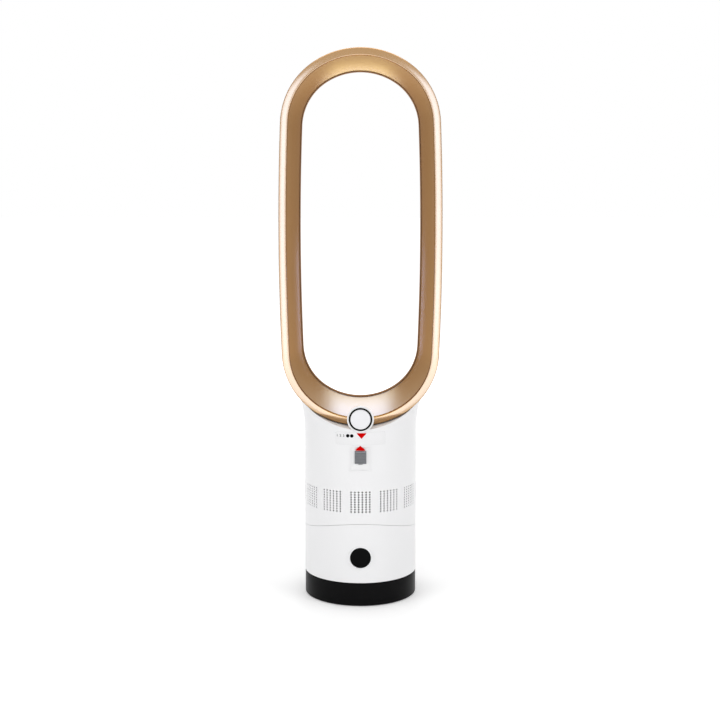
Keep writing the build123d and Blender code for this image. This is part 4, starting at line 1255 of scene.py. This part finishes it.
# %% The slide
SLIDER_WIDTH, SLIDER_HEIGHT, SLIDER_TOP, SLIDER_THICKNESS = 14.5, 16.4, 201.3, 2.2
RIBS, RIB_MARGIN, FIRST_RIB, FACE_SETBACK = 7, 3.4, 3.8, 1.1
slider_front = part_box("release_slider")[0].y / MM
slider_back, slider_face = slider_front + SLIDER_THICKNESS, slider_front + FACE_SETBACK
slider_foot = SLIDER_TOP - SLIDER_HEIGHT
half = SLIDER_WIDTH / 2
slab = bar(
    "slide_slab",
    [
        (slider_back, slider_foot, 0),
        (slider_face, slider_foot, 0.4),
        (slider_face, SLIDER_TOP - 3.0, 0.2),
        (slider_front, SLIDER_TOP - 2.2, 0.3),
        (slider_front, SLIDER_TOP, 1.2),
        (slider_back, SLIDER_TOP, 0),
    ],
    half,
    slider_grey,
)
rib_back, rib_front = slider_face + 0.3, slider_front + 0.1
rib_corners = [(rib_back, -0.62, 0), (rib_front, -0.4, 0.3), (rib_front, 0.4, 0.3), (rib_back, 0.62, 0)]
rib = bar("rib", rib_corners, half - 0.3, slider_grey)
rib_pitch = (SLIDER_HEIGHT - RIB_MARGIN) / RIBS
ribs = grow("slide_ribs", row_tree(), shape=rib, count=RIBS, pitch=rib_pitch * MM, finish=slider_grey)
bpy.data.objects.remove(rib)
ribs.data.transform(Matrix.Translation((0, 0, (SLIDER_TOP - FIRST_RIB) * MM)))
ribs.data.set_sharp_from_angle(angle=radians(40))
finish_piece(slab, "release_slider", "slider_grey")
finish_piece(ribs, "release_slider", "slider_grey")
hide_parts("release_slider")

# %% [markdown]
# ## The base
#
# A matt black skirt, a plate with screws and rubber pads under it, and a mains inlet at the
# rear. The screws and pads are one turned shape each, set in a ring by Geometry Nodes.


# %% Rings of copies
def ring_tree():
    sizes = {"Count": "Int", "Radius": "Float", "First Angle": "Float"}
    inputs = {"Shape": "Object", **sizes, "Finish": "Material"}
    plan, wires = node_tree("Ring of copies", inputs)
    points = plan.add("GeometryNodePoints", None, {"Count": wires["Count"]})
    index = plan.add("GeometryNodeInputIndex")
    angle = index * (2 * pi) / wires["Count"] + wires["First Angle"]
    x, y = (angle.math(name, angle) * wires["Radius"] for name in ("COSINE", "SINE"))
    place = plan.add("ShaderNodeCombineXYZ", None, {"X": x, "Y": y})
    turn = plan.add("ShaderNodeCombineXYZ", None, {"Z": angle})
    ring = copies(plan, points, place, wires["Shape"], Rotation=turn)
    return close_tree(plan, ring, wires["Finish"])


ring_of = ring_tree()

# %% [markdown]
# ### Pads and screws
#
# Five rubber pads, and between them five screws with a cross-shaped recess. The recess is cut
# into the one screw before it is repeated, so there is only one small boolean to work out.

# %% Pads and screws
FOOT_CIRCLE, SCREW_CIRCLE, FEET = 55.3, 52.3, 5
foot = turned("foot", [(0, 0, 0), (7.5, 0, 1.0), (7.5, 4, 0), (0, 4, 0)], rubber, sides=32)
screw_corners = [(0, 2, 0), (3.6, 2, 0.8), (3.6, 4, 0), (2, 4, 0), (2, 11, 0), (0, 11, 0)]
screw = turned("screw", screw_corners, steel, sides=28)
CROSS_REACH, CROSS_HALF_WIDTH, CROSS_TOP = 2.2, 0.4, 3.2
blades = []
for across, along in ((CROSS_REACH, CROSS_HALF_WIDTH), (CROSS_HALF_WIDTH, CROSS_REACH)):
    corners = [(-along, 0, 0), (along, 0, 0), (along, CROSS_TOP, 0), (-along, CROSS_TOP, 0)]
    blades.append(bar("cross", corners, across, steel))
tidy_mesh(cut(screw, *blades))
rings = []
for name, shape, circle, turn in (
    ("rubber_pads", foot, FOOT_CIRCLE, 0),
    ("base_screw_set", screw, SCREW_CIRCLE, pi / FEET),
):
    sizes = {"count": FEET, "radius": circle * MM, "first_angle": pi / 2 + turn}
    piece = grow(name, ring_of, shape=shape, finish=shape.data.materials[0], **sizes)
    piece.data.set_sharp_from_angle(angle=radians(35))
    bpy.data.objects.remove(shape)
    rings.append(piece)
feet, screws = rings
finish_piece(feet, "base", "rubber", "rubber_feet")
finish_piece(screws, "base", "steel", "base_screws")

# %% [markdown]
# ### The skirt
#
# A turned ring with a flange at its top, open below. Only the opening for the mains inlet isn't
# round, so it is cut. Its place and size are read from the frame, so that the opening and the
# CAD's inlet always agree.

# %% The skirt
BASE_RADIUS, BASE_HEIGHT, SKIRT_WALL, SKIRT_LIFT = 72.3, 30.0, 3.0, 0.8
FLANGE, FLANGE_THICKNESS = 11.0, 2.5
skirt = turned(
    "black_base_skirt",
    [
        (BASE_RADIUS - SKIRT_WALL, SKIRT_LIFT, 0),
        (BASE_RADIUS, SKIRT_LIFT, 0.9),
        (BASE_RADIUS, BASE_HEIGHT, 0.6),
        (BASE_RADIUS - FLANGE, BASE_HEIGHT, 0),
        (BASE_RADIUS - FLANGE, BASE_HEIGHT - FLANGE_THICKNESS, 0),
        (BASE_RADIUS - SKIRT_WALL, BASE_HEIGHT - FLANGE_THICKNESS, 0),
    ],
    black_skirt,
    sides=192,
)
INLET_ROUND, CUT_INSIDE, CUT_OUTSIDE = 4.0, 12, 4


def inlet_cutter():
    """The space that the inlet takes in the skirt's rear wall."""
    low, high = (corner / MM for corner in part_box("mains_inlet"))
    corners = [(low.x, low.z), (high.x, low.z), (high.x, high.z), (low.x, high.z)]
    profile = rounded([(*corner, INLET_ROUND) for corner in corners])
    depths = (BASE_RADIUS - CUT_INSIDE, BASE_RADIUS + CUT_OUTSIDE)
    return prism("inlet_cutter", [[(x, y, z) for x, z in profile] for y in depths], black_skirt)


tidy_mesh(cut(skirt, inlet_cutter()))
finish_piece(skirt, "base", "black_base", "base_skirt")

# %% [markdown]
# ## What stays as the CAD has it
#
# The inner parts are seen only through the holes or from below, and the CAD mesh is true to
# them. They get their finishes on their own slots.

# %% Finishes for the inner parts
inner_finishes = [
    (inner_black, "base_plate mains_inlet turntable power_switch partition_plate"),
    (inner_black, "fan_duct motor_bucket impeller loop_neck mode_switch"),
    (steel, "ballast_ring swivel_post swivel_retainer swivel_motor"),
    (steel, "motor_stator motor_bearings motor_rotor motor_shaft"),
    (acetal, "glide_ring swivel_sun_gear swivel_pinion tilt_guide"),
    (rubber, "duct_mount_ring neck_seal"),
    (board_green, "control_board display_board"),
    (brass, "inlet_pins"),
    (gold, "slit_spacers"),
    (white, "slider_track"),
]
painted = 0
for material, nodes in inner_finishes:
    for node in nodes.split():
        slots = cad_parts[node].data.materials
        for index in range(len(slots)):
            slots[index] = material
        if not slots:
            slots.append(material)
        painted += 1
print("CAD nodes painted:", painted)

# %% [markdown]
# ## Stage, light and camera
#
# The photograph has a white ground that fades into a white background, with only a soft shadow
# at the foot. The floor is a plain diffuse one. A bright lamp alone would make it white, but
# would wash out the fan too, so for the camera it glows a little, and more far from the fan.


# %% The floor
def seen_rays(plan, path):
    """1 where the camera looks straight at it, or through a reflection or glass."""
    names = ("Is Camera Ray", "Is Glossy Ray", "Is Transmission Ray")
    camera, glossy, through = (Wire(plan, path.outputs[name]) for name in names)
    return plan.add("ShaderNodeClamp", None, {"Value": camera + glossy + through})


def floor_material():
    """Matt white that glows a little for the camera, and more away from the fan."""
    near, fade_length, near_lift, far_lift = 0.25, 1.2, 0.2, 0.5
    darker, lighter = (0.9, 0.9, 0.9, 1), (0.94, 0.94, 0.94, 1)
    material = bpy.data.materials.new("studio_floor")
    material.use_nodes = True
    plan = Plan(material.node_tree)
    plan.tree.nodes.clear()
    grain = plan.add("ShaderNodeTexNoise", None, {"Scale": 3.0, "Detail": 3.0})
    tones = {0: grain, 6: darker, 7: lighter}
    shade = plan.add("ShaderNodeMix", {"data_type": "RGBA"}, tones, 2)
    matt = plan.add("ShaderNodeBsdfDiffuse", None, {"Color": shade})
    path = plan.node("ShaderNodeLightPath")
    spot = plan.add("ShaderNodeTexCoord", None, None, "Object")
    distance = plan.add("ShaderNodeVectorMath", {"operation": "LENGTH"}, {0: spot}, "Value")
    away = plan.add("ShaderNodeClamp", None, {"Value": (distance - near) / fade_length})
    lift = seen_rays(plan, path) * (away * far_lift + near_lift)
    glow = plan.add("ShaderNodeEmission", None, {"Color": (1, 1, 1, 1), "Strength": lift})
    both = plan.add("ShaderNodeAddShader", None, {0: matt, 1: glow})
    plan.node("ShaderNodeOutputMaterial", None, {"Surface": both})
    return material


HALF_FLOOR = 14.0
floor_corners = [(HALF_FLOOR * x, HALF_FLOOR * y, 0) for x, y in ((-1, -1), (1, -1), (1, 1), (-1, 1))]
floor = mesh_piece("floor", floor_corners, [(0, 1, 2, 3)], floor_material())

# %% [markdown]
# ### The world
#
# The world is white where the camera or a reflection looks at it, so that the metal shows the
# same background. As a light it is dimmer, because light from all sides leaves no shadow.

# %% The world
world = bpy.data.worlds.new("studio")
bpy.context.scene.world = world
world.use_nodes = True
sky = Plan(world.node_tree)
sky.tree.nodes.clear()
path = sky.node("ShaderNodeLightPath")
AMBIENT = 0.4
strength = seen_rays(sky, path) * (1 - AMBIENT) + AMBIENT
background = sky.add("ShaderNodeBackground", None, {"Color": (1, 1, 1, 1), "Strength": strength})
sky.node("ShaderNodeOutputWorld", None, {"Surface": background})
print(f"floor {2 * HALF_FLOOR:.0f} m wide, world at {AMBIENT} as a light")


# %% [markdown]
# ### Lamps
#
# Two kinds of lamp stand round the fan. Soft boxes light the plastics, and only the one
# overhead is seen in gloss. Cards light nothing, but light linking shows them to the gold
# pieces alone, as their bright bands.


# %% Two kinds of lamp
def soft_box(name, place, aim, size, radiance, colour=(1, 1, 1)):
    """A square lamp whose face has this brightness, pointed at a spot."""
    lamp = bpy.data.lights.new(name, "AREA")
    lamp.color = colour
    lamp.shape, lamp.size, lamp.size_y = "RECTANGLE", size[0], size[1]
    lamp.energy = radiance * pi * size[0] * size[1]
    holder = new_object(name, lamp)
    holder.location = place
    holder.rotation_euler = (Vector(aim) - Vector(place)).to_track_quat("-Z", "Y").to_euler()
    holder.visible_camera = False
    return holder


def lighting_box(*settings):
    """A soft box that lights matt surfaces and isn't seen in gloss."""
    soft_box(*settings).visible_glossy = False


mirroring_parts = bpy.data.collections.new("mirroring_parts")
for piece in (trim, liner):
    mirroring_parts.objects.link(piece)


def mirrored_card(*settings):
    """A bright card that only the gloss of the gold pieces shows."""
    card = soft_box(*settings)
    card.visible_diffuse = False
    card.light_linking.receiver_collection = mirroring_parts


# %% [markdown]
# ### Their places
#
# Of the cards, one stands at each side for the trim, three lie on the floor for its lower half,
# one hangs high behind for the foot of the gold wall, and a small low one behind is for its
# top. A white card would look gold in gold paint. The photograph's bands are nearly white, so
# the cards are bluish, and the metal's own colour turns them pale.

# %% The lamps
middle = (0, 0, 0.38)
soft_box("overhead", (0, 0.1, 2.4), middle, (2.2, 1.6), 2.2)
lighting_box("front_fill", (0, -2.4, 2.4), middle, (2.0, 1.2), 1.6)
lighting_box("back_box", (0, 2.4, 1.6), middle, (1.3, 1.0), 2.4)
BACK_CARD, LOW_CARD, FOOT_CARD = (0.2, 0.39, 1.0), (0.25, 0.45, 1.0), (0.52, 0.66, 1.0)
SIDE_CARD, FLOOR_CARD = (0.25, 0.44, 1.0), (0.24, 0.45, 1.0)
mirrored_card("back_card", (0, 2.36, 1.57), middle, (1.5, 1.2), 13.0, BACK_CARD)
mirrored_card("low_back_card", (0, 1.5, 0.2), (0, 0, 0.67), (0.5, 0.34), 21.5, LOW_CARD)
mirrored_card("foot_card", (0, -0.9, 0.01), (0, -0.9, 1), (0.24, 1.5), 3.0, FOOT_CARD)
for side, label in ((-1, "left"), (1, "right")):
    lighting_box(f"{label}_box", (side * 1.55, -1.3, 0.6), middle, (0.9, 1.5), 2.5)
    mirrored_card(f"{label}_card", (side * 0.95, -1.6, 0.62), middle, (0.8, 1.5), 5.6, SIDE_CARD)
    spot, above = (side * 0.62, -1.0, 0.01), (side * 0.62, -1.0, 1)
    mirrored_card(f"{label}_floor_card", spot, above, (1.0, 1.3), 3.4, FLOOR_CARD)

# %% [markdown]
# ### The camera
#
# The camera was fitted to the photograph: to the loop's outline, the ends of the body and the
# base's ellipses. It stands 1.7 m in front of the fan, a little below the top of the loop, and
# looks down by eight degrees.

# %% Camera
FOCAL_PIXELS, IMAGE_PIXELS, SENSOR = 1327.1, 720, 36.0
CAMERA_PLACE, LOOKS_DOWN = (-0.0006, -1.6961, 0.5473), 0.1413
lens = bpy.data.cameras.new("camera")
lens.sensor_width, lens.lens = SENSOR, FOCAL_PIXELS / IMAGE_PIXELS * SENSOR
lens.clip_end = 60
camera = new_object("camera", lens)
camera.location = CAMERA_PLACE
camera.rotation_euler = (pi / 2 - LOOKS_DOWN, 0, 0)
bpy.context.scene.camera = camera
bpy.context.scene.view_settings.view_transform = "Standard"
print(f"lens of {lens.lens:.1f} mm, looking down by {degrees(LOOKS_DOWN):.1f} degrees")
